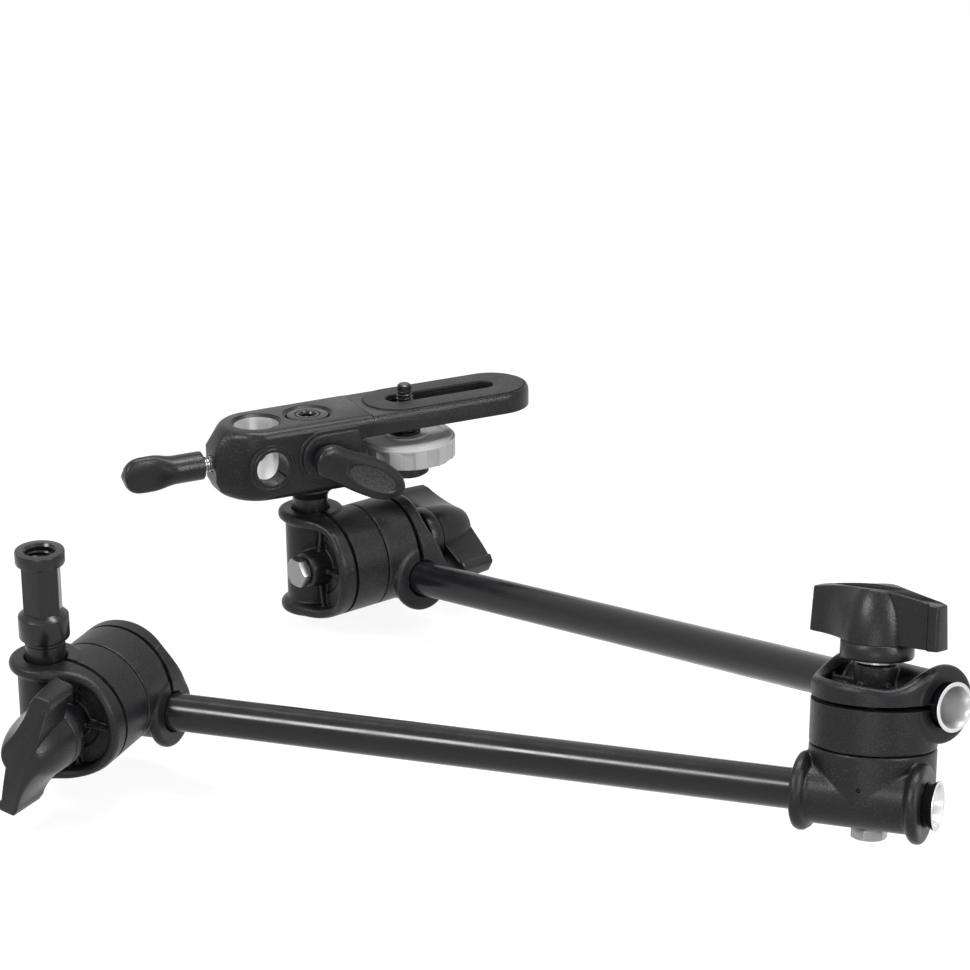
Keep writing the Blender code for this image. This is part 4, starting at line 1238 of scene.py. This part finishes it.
@dataclass
class Bracket:
    """Die-cast camera bracket on its stud, with pad, clamping screws and lock wheel."""

    half: float = 14.7
    depth: float = 26.8
    platform: float = 8.0
    block_right: float = 15.0
    reach: float = 90.0
    seam_x: float = 20.5
    seam_drop: float = 0.4
    socket_radius: float = 8.2
    socket_x: float = -20.4
    nose_x: float = -38.6
    nose_half: float = 5.0
    nose_top: float = 7.5
    nose_bottom: float = 19.5
    cross_radius: float = 6.2
    cross_depth: float = 13.7
    stud_radius: float = 7.9
    flange_radius: float = 8.79
    shank_radius: float = BaseStud.shank_radius
    slot_start: float = 33.0
    slot_end: float = 75.2
    slot_width: float = 7.4
    pad_start: float = 23.2
    pad_margin: float = 1.4
    pad_recess: float = 1.0
    lever_depth: float = 12.4
    boss_radius: float = 9.0
    boss_reach: float = 14.0
    boss_rise: float = 2.0
    end_depth: float = 13.3
    lock_radius: float = 2.9

    def end_radius(self, angle: float, nosed: float) -> float:
        """Distance of the casting's end from the socket's axis, in one direction.

        Args:
            angle: Direction in degrees from X, between 90 and 270.
            nosed: 0 for the plain round end, 1 where the nose stands out in full.

        Returns:
            The distance in millimetres.
        """
        away = abs(180 - angle)
        to_face = self.socket_x - self.nose_x
        corner = math.hypot(to_face, self.nose_half)
        touch = math.degrees(math.atan2(self.nose_half, to_face) + math.acos(self.half / corner))
        flank = self.half / math.cos(math.radians(touch - away)) if away < touch else self.half
        face = to_face / max(math.cos(math.radians(away)), 0.01)
        return self.half + (min(flank, face) - self.half) * nosed

    def casting(self) -> bpy.types.Object:
        """Raw casting: level outlines lofted upwards, then cut free below the platform."""
        bottom = -self.depth
        levels = [
            (bottom, 0.0, 3.0), (bottom + 0.35, 0.0, 2.1), (bottom + 1.0, 0.1, 1.1),
            (bottom + 2.2, 0.35, 0.35), (bottom + 3.6, 0.6, 0.0), (-self.nose_bottom, 1.0, 0.0),
            (-self.nose_top, 1.0, 0.0), (-2.6, 0.25, 0.0), (-1.5, 0.12, 0.35), (-0.7, 0.05, 0.95),
            (-0.2, 0.0, 1.7), (0.0, 0.0, 2.3),
        ]
        rings = []
        for level, nosed, inset in levels:
            ring = []
            for angle in range(90, 271, 3):
                radius = self.end_radius(angle, nosed) - inset
                turn = math.radians(angle)
                x = self.socket_x + radius * math.cos(turn)
                ring.append((x, radius * math.sin(turn), level))
            tip = arc((self.reach - self.half, 0), self.half - 0.55 * inset, -90, 90, 40)
            rings.append(ring + [(x, y, level) for x, y in tip])
        body = Bench.loft("bracket_body_dressed", rings)
        side_view = [
            (self.reach + 1, 2), (self.reach + 1, -self.platform),
            *arc((self.block_right + 2, -self.platform - 2), 2.0, 90, 180, 6),
            *arc((self.block_right - 4.5, -self.depth + 4.5), 4.5, 0, -80, 10),
            (self.block_right - 8, -self.depth - 1), (self.nose_x - 5, -self.depth - 1),
            (self.nose_x - 5, 2),
        ]
        side = Bench.stand(Bench.plate("side", side_view, -TOOL_REACH, TOOL_REACH))
        Bench.boolean(Boolean.COMMON, body, side)
        return Bench.apply(
            body, "BEVEL", width=0.7, segments=3, limit_method="ANGLE", angle_limit=math.radians(42)
        )

    def lever_boss(self, grow: float, rise: float) -> bpy.types.Object:
        """Raised pad round the side thread, round at one end and square at the other."""
        radius = self.boss_radius + grow
        outline = arc((0, -self.lever_depth), radius, 90, 270, 28)
        right, soft = self.boss_reach + grow * 0.3, 1.6
        outline += arc((right - soft, -self.lever_depth - radius + soft), soft, -90, 0, 5)
        outline += arc((right - soft, -self.lever_depth + radius - soft), soft, 0, 90, 5)
        boss = Bench.stand(Bench.plate("boss", outline, self.half - 2, self.half + rise))
        return Bench.bevel_where(
            boss, lambda a, b: max(a.y, b.y) < -self.half - rise + 0.01, min(0.7, rise * 0.8), 3
        )

    def cross_ring(self, side: int) -> bpy.types.Object:
        """Raised ring round one mouth of the cross hole."""
        steps = [
            (-0.2, -1), (-0.2, 0.35), (0.3, 0.55), (1.1, 0.5), (1.5, 0.1), (1.9, 0.25), (2.4, 0.2),
            (2.8, -0.1), (2.8, -1),
        ]
        profile = [(self.cross_radius + out, side * (self.half + rise)) for out, rise in steps]
        ring = Bench.lathe("ring", profile, 72, Along.Y, closed=True)
        ring.data.transform(Matrix.Translation((self.socket_x, 0, -self.cross_depth)))
        return ring

    def socket(self, x: float) -> bpy.types.Object:
        """Upright through socket with a chamfered mouth."""
        radius = self.socket_radius
        foot = -self.depth - 2
        profile = [(radius + 1.2, 0.6), (radius + 1.1, -0.2), (radius, -1.1), (radius, foot)]
        return Bench.lathe("socket", profile, 96, Along.Z, (x, 0, 0))

    def body(self, where: Matrix) -> None:
        """Casting with its bosses, bores, recess, slot and seam."""
        body = Bench.boolean(
            Boolean.WELD, self.casting(), self.lever_boss(1.3, 0.7),
            self.lever_boss(0.0, self.boss_rise), self.cross_ring(1), self.cross_ring(-1),
        )
        lock = self.lock_radius + RUNNING_GAP
        seat = (self.socket_x, 0, -self.cross_depth)
        recess = Bench.plate(
            "recess",
            stadium(self.pad_start, self.reach - self.pad_margin, self.half - self.pad_margin, 36),
            -self.seam_drop - self.pad_recess, 5,
        )
        opening = stadium(self.slot_start, self.slot_end, self.slot_width / 2)
        slot = Bench.plate("slot", opening, -15, 15)
        Bench.boolean(
            Boolean.CUT, body,
            Bench.bar("lowered", (self.seam_x, -30, -self.seam_drop), (self.reach + 3, 30, 3)),
            Bench.bar("seam", (self.seam_x - 0.5, -30, -0.9), (self.seam_x + 0.1, 30, 3)),
            self.socket(self.socket_x),
            self.socket(0),
            Bench.rod("cross", self.cross_radius, -self.half - 3, self.half + 3, Along.Y, seat, 72),
            Bench.rod("end", lock, self.nose_x - 2, seat[0], Along.X, (0, 0, -self.end_depth)),
            Bench.rod("side", lock, -self.half - 6, -1, Along.Y, (0, 0, -self.lever_depth)),
            recess,
            slot,
        )

        def machined(centre: Vector, normal: Vector) -> bool:
            """True on the wall of the bare socket."""
            across = Vector((centre.x - self.socket_x, centre.y, 0))
            bored = across.length < self.socket_radius + 0.15 and centre.z < -0.9
            return bored and across.normalized().dot(normal) < -0.9

        socket_axis = turned_place(where, (self.socket_x, 0, 0))
        hand_over(
            body, where, "bracket", ["bracket_body"], CASTING,
            second=BARE_SOCKET, inside=machined, lathe_frame=socket_axis, smooth=30,
        )

    def pad(self, where: Matrix) -> None:
        """Textured pad in the platform's recess, with a rounded rim and its own slot."""
        inset = self.pad_margin + RUNNING_GAP
        low = -self.seam_drop - self.pad_recess + RUNNING_GAP
        high = low + 1.2
        outline = stadium(self.pad_start + RUNNING_GAP, self.reach - inset, self.half - inset, 36)
        pad = Bench.plate("bracket_pad_dressed", outline, low, high)
        opening = stadium(self.slot_start - 1, self.slot_end + 1, self.slot_width / 2 + 1)
        Bench.boolean(Boolean.CUT, pad, Bench.plate("opening", opening, -5, 5))
        Bench.bevel_where(pad, lambda a, b: min(a.z, b.z) > high - 0.01, 0.3, 3)
        hand_over(pad, where, "bracket", ["bracket_pad"], PAD)

    def stud(self, where: Matrix) -> None:
        """Stud through the bracket: threaded insert in its top, flange below, shank in the loop."""
        top = -self.depth - RUNNING_GAP
        low = top - 4.5
        flange, shank = self.flange_radius, self.shank_radius
        end = -STUD_RISE - LOOP_HALF - STUD_OVERHANG
        stud = Bench.lathe(
            "bracket_stud_dressed",
            [
                (4.6, -0.3), (self.stud_radius - 0.9, -0.3), (self.stud_radius - 0.3, -0.5),
                (self.stud_radius, -1.1), (self.stud_radius, top - 0.4), (flange - 0.3, top),
                (flange, top - 0.3), (flange, top - 1.9), (flange - 0.3, top - 2.2),
                (flange - 0.9, top - 2.5), (shank + 0.6, low + 0.9), (shank + 0.3, low),
                (shank, low - 0.5), (shank, end + 0.6), (shank - 0.6, end),
            ],
            96,
        )
        groove = Bench.lathe(
            "groove", [(4.4, -0.2), (4.4, -1.0), (4.9, -1.0), (4.9, -0.2)], 64, closed=True
        )
        profile = [(3.6, 0.5), (3.3, -0.5), (2.85, -1.2), (2.85, -8.3), (0.3, -10)]
        hole = Bench.lathe("hole", profile, 48)
        stud = Bench.boolean(Boolean.CUT, stud, groove, hole)
        stud = Bench.gather(stud, Bench.thread("ridge", 2.85, 0.35, 1.0, -7.8, -1.6, inward=True))
        hand_over(stud, where, "bracket_stud", ["bracket_stud"], BLACK_STEEL, smooth=28)

    def build(self) -> None:
        """Build the bracket's casting, its pad and its stud."""
        where = bracket_place()
        self.body(where)
        self.pad(where)
        self.stud(where)


@dataclass
class CameraScrew:
    """Camera screw with its spacer, grey lock wheel and knurled grip."""

    at_x: float = 39.5
    platform: float = Bracket.platform
    radius: float = 3.18
    rise: float = 5.3
    spacer_radius: float = 5.8
    spacer_length: float = 5.4
    wheel_radius: float = 18.8
    wheel_height: float = 9.0
    flutes: int = 12
    flute_steps: int = 14
    flute_share: float = 0.57
    flute_depth: float = 1.05
    grip_radius: float = 8.6
    grip_height: float = 6.8
    knurls: int = 120
    knurl_depth: float = 0.32

    @property
    def wheel_top(self) -> float:
        """Height of the wheel's upper face."""
        return -self.platform - RUNNING_GAP - self.spacer_length - RUNNING_GAP

    def screw(self) -> bpy.types.Object:
        """Threaded shaft with a diamond-knurled grip below the wheel."""
        top = self.wheel_top - self.wheel_height - RUNNING_GAP
        low = top - self.grip_height
        root = self.radius - 0.55
        profile = [(root - 0.7, self.rise), (root, self.rise - 0.5), (root, top - 1)]
        shaft = Bench.lathe("camera_screw_dressed", profile, 48)
        ridge = Bench.thread("ridge", self.radius, 0.6, 1.27, top + 0.8, self.rise - 0.9)
        count, wide, levels = self.knurls, self.grip_radius, 12
        rings = [polar([radius] * count, top) for radius in (root, wide - 0.9)]
        for k in range(levels + 1):
            height = top - 0.7 - (self.grip_height - 1.7) * k / levels
            radii = [wide - self.knurl_depth * ((i + k) % 2) for i in range(count)]
            rings.append(polar(radii, height))
        for radius, height in ((wide - 1.3, low + 0.2), (wide - 2.0, low), (2.0, low)):
            rings.append(polar([radius] * count, height))
        return Bench.gather(shaft, ridge, Bench.loft("grip", rings))

    def spacer(self) -> bpy.types.Object:
        """Black spacer between the platform and the wheel."""
        top = -self.platform - RUNNING_GAP
        low = top - self.spacer_length
        outer, inner = self.spacer_radius, self.radius + RUNNING_GAP
        profile = [
            (inner, top), (outer - 0.5, top), (outer, top - 0.5), (outer, top - 1.8),
            (outer - 0.7, top - 2.2), (outer - 0.7, low + 1.4), (outer, low + 1.0),
            (outer, low + 0.3), (outer - 0.3, low), (inner, low),
        ]
        return Bench.lathe("screw_spacer_dressed", profile, 72, closed=True)

    def wheel(self) -> bpy.types.Object:
        """Wheel with a stepped lip and a skirt of scalloped flutes below it."""
        top, low = self.wheel_top, self.wheel_top - self.wheel_height
        full, steps, depth = self.wheel_radius, self.flute_steps, self.flute_depth
        inner = self.radius + RUNNING_GAP

        def ring(radius: float, height: float, fluted: float = 0.0) -> list[Point]:
            """Round of points, drawn in at the flutes."""
            across = [(i % steps) / steps / self.flute_share for i in range(self.flutes * steps)]
            cuts = [math.sqrt(max(0.0, 1 - (2 * share - 1) ** 2)) for share in across]
            return polar([radius - fluted * cut for cut in cuts], height)

        rings = [
            ring(inner, top), ring(8.0, top), ring(8.6, top - 0.5), ring(full - 4.4, top - 0.5),
            ring(full - 4.0, top - 0.1), ring(full - 1.9, top), ring(full - 1.2, top - 0.25),
            ring(full - 0.9, top - 0.8), ring(full - 0.35, top - 1.0), ring(full, top - 1.45),
            ring(full, top - 2.15), ring(full, top - 2.2, depth), ring(full, low + 0.7, depth),
            ring(full - 0.35, low + 0.2, depth * 0.8), ring(full - 1.1, low), ring(inner, low),
        ]
        return Bench.loft("lock_wheel_dressed", rings, closed=True)

    def build(self) -> None:
        """Place the screw, its spacer and its wheel on their bodies."""
        where = turned_place(bracket_place(), (self.at_x, 0, 0))
        hand_over(self.screw(), where, "camera_screw", ["camera_screw"], BLACK_STEEL, smooth=28)
        hand_over(self.spacer(), where, "screw_carriage", ["screw_spacer"], BLACK_STEEL)
        hand_over(self.wheel(), where, "lock_wheel", ["lock_wheel"], GREY, smooth=28)


@dataclass
class SideLever:
    """Moulded lever on the side screw, with a textured oval inset in its leaf."""

    hub_radius: float = 6.6
    hub_length: float = 8.0
    standoff: float = 1.1
    dish_middle: float = 17.4
    dish_half: Flat = (12.6, 4.9)
    reach: float = 32.2
    half_width: float = 7.2
    thickness: float = 5.8
    droop: float = -29.0
    screw_radius: float = 2.9
    blind: float = 5.0
    taper: float = 0.22
    squareness: float = 0.75
    voxel: float = 0.25

    def half_at(self, x: float) -> float:
        """Half width of the leaf at a distance from the screw's axis."""
        if x < 0:
            return self.hub_radius * math.sqrt(max(0.0, 1 - (x / self.hub_radius) ** 2))
        swell = self.hub_radius + (self.half_width - self.hub_radius) * ease(x / 15)
        past = max(0.0, (x - 17) / (self.reach - 17))
        return swell * math.sqrt(max(0.0, 1 - past**2.3))

    def leaf(self) -> bpy.types.Object:
        """Leaf as a loft of rounded sections: round at the screw, wider along the dish."""
        top = self.hub_length - 0.2
        centre, half = (self.reach - self.hub_radius) / 2, (self.reach + self.hub_radius) / 2
        rings = []
        stations = 36
        for k in range(stations + 1):
            x = centre - half * math.cos(math.pi * k / stations)
            width = max(self.half_at(x), 0.5)
            body = math.sqrt(max(0.0, 1 - (1 - min(1.0, width / self.hub_radius)) ** 2))
            thinner = 1 - self.taper * max(0.0, x) / self.reach
            thick = self.thickness * thinner * (0.30 + 0.70 * body)
            middle = top - self.thickness / 2
            section = oval(width, thick / 2, self.squareness, 36)
            rings.append([(x, u, middle + v) for u, v in section])
        return Bench.loft("leaf", rings)

    def build(self) -> None:
        """Fuse hub and leaf, sink the inset, and add the screw."""
        origin, z = joint("lock_lever_turn")
        up = bracket_place().to_3x3() @ Vector((0, 0, 1))
        y = (up - z * up.dot(z)).normalized()
        base = place(origin, y.cross(z), y, z)
        where = turned_place(base, degrees=self.droop)
        high = self.hub_length
        wide, foot = self.hub_radius, self.standoff
        profile = [
            (wide - 1.4, foot), (wide - 0.9, foot + 0.6), (wide - 0.9, high - 4.0),
            (wide - 1.6, high - 3.0),
        ]
        hub = Bench.lathe("lock_lever_dressed", profile, 72)
        lever = Bench.soften(Bench.gather(hub, self.leaf()), self.voxel, 8)
        long, across = self.dish_half
        face = high - 0.2
        rings = []
        for share, rise in ((0.80, -1.0), (0.90, -0.75), (1.0, 0), (1.12, 2)):
            section = oval(share * long, share * across, 1, 72)
            rings.append([(self.dish_middle + x, y, face + rise) for x, y in section])
        dish = Bench.loft("dish", rings)
        hole = Bench.rod("hole", self.screw_radius + RUNNING_GAP, -1, self.blind)
        Bench.boolean(Boolean.CUT, lever, dish, hole)

        def textured(centre: Vector, normal: Vector) -> bool:
            """True on the floor of the dish."""
            share = ((centre.x - self.dish_middle) / long) ** 2 + (centre.y / across) ** 2
            return share < 0.68 and normal.z > 0.8 and centre.z > high - self.thickness / 2

        hand_over(lever, where, "lock_lever", ["lock_lever"], KNOB, INSET, textured)
        stud_axis = -(Bracket.half + Bracket.boss_rise + RUNNING_GAP)
        low, radius = stud_axis + Bracket.stud_radius + RUNNING_GAP, self.screw_radius
        profile = [
            (radius - 0.5, low), (radius, low + 0.5), (radius, self.blind - 0.9),
            (radius - 0.5, self.blind - 0.4),
        ]
        screw = Bench.lathe("lock_lever_screw_dressed", profile, 48)
        hand_over(screw, where, "lock_lever", ["lock_lever_screw"], ZINC)


@dataclass
class EndScrew:
    """Clamping screw in the bracket's nose, with its moulded handle."""

    exposed: float = 4.0
    entry: float = 8.8
    radius: float = 2.9
    barrel_radius: float = 5.3
    barrel: float = 8.5
    length: float = 30.0
    half_width: float = 6.8
    thickness: float = 5.2
    voxel: float = 0.25

    def handle(self) -> bpy.types.Object:
        """Round socket that flattens into a rounded paddle, along -X."""
        rings = []
        stations = 30
        for k in range(stations + 1):
            share = k / stations
            x = -self.length * share
            flat = ease((share - 0.34) / 0.30)
            tip = math.sqrt(max(0.0, 1 - max(0.0, (share - 0.72) / 0.28) ** 3))
            wide = self.barrel_radius + (self.half_width - self.barrel_radius) * flat
            thin = self.barrel_radius + (self.thickness / 2 - self.barrel_radius) * flat
            section = oval(thin, wide * max(tip, 0.12), 1 - 0.28 * flat, 48)
            rings.append([(x, y, z) for y, z in section])
        handle = Bench.loft("end_screw_handle_dressed", rings)
        handle = Bench.soften(handle, self.voxel, 6)
        hole = Bench.rod("hole", self.radius + RUNNING_GAP, -self.barrel * 0.7, 1, Along.X)
        return Bench.boolean(Boolean.CUT, handle, hole)

    def screw(self) -> bpy.types.Object:
        """Bright threaded screw between the handle and the socket."""
        low = -self.exposed - self.barrel * 0.7 + RUNNING_GAP
        high = self.entry
        profile = [(2.0, low), (2.35, low + 0.3), (2.35, high - 0.5), (1.8, high)]
        shaft = Bench.lathe("end_screw_dressed", profile, 40)
        ridge = Bench.thread("ridge", self.radius, 0.5, 1.0, low + 0.8, high - 1.0)
        return Bench.lay(Bench.gather(shaft, ridge), Along.X)

    def build(self) -> None:
        """Place the screw and its handle."""
        where = bracket_place()
        where.translation = joint("end_screw_turn")[0]
        marks = turned_place(where, degrees=90, axis="Y")
        hand_over(self.screw(), where, "end_screw", ["end_screw"], ZINC, lathe_frame=marks)
        grip = turned_place(where, (-self.exposed, 0, 0))
        hand_over(self.handle(), grip, "end_handle", ["end_screw_handle"], KNOB)


@dataclass
class Lamp:
    """One soft light."""

    name: str
    at: Point
    size: Flat
    power: float
    towards: Point = (0.13, 0.08, -0.04)

    def build(self) -> None:
        """Hang the light and point it at the arm."""
        data = bpy.data.lights.new(self.name, "AREA")
        data.shape = "RECTANGLE"
        data.size, data.size_y = self.size
        data.energy = self.power
        lamp = bpy.data.objects.new(self.name, data)
        lamp.location = self.at
        aim = Vector(self.towards) - Vector(self.at)
        lamp.rotation_euler = aim.to_track_quat("-Z", "Y").to_euler()
        bpy.context.scene.collection.objects.link(lamp)


@dataclass
class Studio:
    """Pale floor, white surroundings, soft lights and the camera."""

    floor_level: float = -0.0905
    floor_tone: float = 0.80
    glow: float = 1.06
    glow_share: float = 0.86
    world_fill: float = 0.25
    focal_length: float = 103.907
    eye: Point = (0.456814, -0.697718, 0.372478)
    right: Point = (0.917448, 0.397820, 0.005413)
    up: Point = (-0.160085, 0.356663, 0.920415)
    forward: Point = (-0.364229, 0.845299, -0.390905)
    lamps: tuple[Lamp, ...] = (
        Lamp("key_light", (-0.45, -0.80, 0.85), (0.40, 0.30), 13.0),
        Lamp("top_light", (0.15, 0.30, 1.10), (1.0, 0.22), 16.0),
        Lamp("right_light", (1.15, -0.20, 0.50), (0.22, 0.6), 9.0),
        Lamp("front_fill", (0.45, -1.25, 0.20), (0.6, 0.2), 3.0),
    )

    @staticmethod
    def seen(sheet: NodeSheet) -> bpy.types.NodeSocket:
        """1 for rays from the camera and for reflections, else 0."""
        rays = sheet.add("ShaderNodeLightPath").outputs
        return sheet.maths("MAXIMUM", rays["Is Camera Ray"], rays["Is Glossy Ray"])

    def white(self) -> bpy.types.Material:
        """Floor that the camera and reflections see as nearly white, and that keeps its shadows."""
        made = bpy.data.materials.new("studio_white")
        made.use_nodes = True
        sheet = NodeSheet(made.node_tree)
        position = sheet.add("ShaderNodeTexCoord").outputs["Object"]
        cloud = sheet.span(sheet.noise(position, 14.0, 3.0), 0.3, 0.7, (0.0, 1.0))
        tones = [(*(self.floor_tone + more,) * 3, 1.0) for more in (0.0, 0.03)]
        tone = sheet.blend(cloud, *tones)
        matt = sheet.add("ShaderNodeBsdfPrincipled", {"Base Color": tone})
        matt.inputs["Roughness"].default_value = 0.8
        glow = sheet.add("ShaderNodeEmission", {"Color": (1, 1, 1, 1), "Strength": self.glow})
        share = sheet.maths("MULTIPLY", self.seen(sheet), self.glow_share)
        mix = sheet.add("ShaderNodeMixShader", {0: share, 1: matt.outputs[0], 2: glow.outputs[0]})
        sheet.add("ShaderNodeOutputMaterial", {"Surface": mix.outputs[0]})
        return made

    def build(self) -> None:
        """Lay the floor, hang the lights and set the camera."""
        Bench.clear()
        bpy.ops.mesh.primitive_plane_add(size=14.0, location=(0.1, 0.1, self.floor_level))
        floor = bpy.context.object
        floor.name = "studio_floor"
        floor.data.materials.append(self.white())
        for lamp in self.lamps:
            lamp.build()
        world = bpy.data.worlds.new("studio_world")
        world.use_nodes = True
        sheet = NodeSheet(world.node_tree)
        strength = sheet.span(self.seen(sheet), 0.0, 1.0, (self.world_fill, 1.0))
        glow = sheet.add("ShaderNodeBackground", {"Color": (1, 1, 1, 1), "Strength": strength})
        sheet.add("ShaderNodeOutputWorld", {"Surface": glow.outputs[0]})
        bpy.context.scene.world = world
        camera = bpy.data.cameras.new("camera")
        camera.lens, camera.sensor_width, camera.clip_start = self.focal_length, 36.0, 0.01
        eye = bpy.data.objects.new("camera", camera)
        turn = Matrix((self.right, self.up, [-c for c in self.forward])).transposed().to_4x4()
        eye.matrix_world = Matrix.Translation(self.eye) @ turn
        bpy.context.scene.collection.objects.link(eye)
        bpy.context.scene.camera = eye
        bpy.context.scene.view_settings.view_transform = "Standard"


def main() -> None:
    """Build the arm from its base stud out to the camera bracket, then the studio."""
    logging.basicConfig(level=logging.INFO, format="%(name)s: %(message)s")
    half = ClampHalf()
    blank = half.blank()
    for_tube = half.bored(blank, "tube_half", ArmTube.radius)
    for_stud = half.bored(blank, "stud_half", BaseStud.shank_radius)
    halves = {
        "base_swivel": for_stud, "stud_swivel": for_stud,
        "lower_tube_twist": for_tube, "upper_tube_twist": for_tube,
    }
    knob = WingKnob().build("wing_knob")
    fastener = Fastener()
    lower, upper = "lower_tube_twist", "upper_tube_twist"
    for name, knob_half, knob_rod, bolt_half, bolt_rod, knob_turn in (
        ("base", "base_near", "base_swivel", "base_far", lower, 75.0),
        ("elbow", "elbow_upper", upper, "elbow_lower", lower, -78.5),
        ("head", "head_far", upper, "head_near", "stud_swivel", -53.0),
    ):
        DiscJoint(name, knob_half, knob_rod, bolt_half, bolt_rod, knob_turn).build(
            halves, knob, fastener
        )
    for spare in (blank, for_tube, for_stud, knob):
        bpy.data.objects.remove(spare, do_unlink=True)
    BaseStud().build()
    ArmTube("lower_tube", lower, "base_turn", "elbow_turn").build()
    ArmTube("upper_tube", upper, "elbow_turn", "head_turn").build()
    Bracket().build()
    CameraScrew().build()
    SideLever().build()
    EndScrew().build()
    Studio().build()


if __name__ == "__main__":
    main()
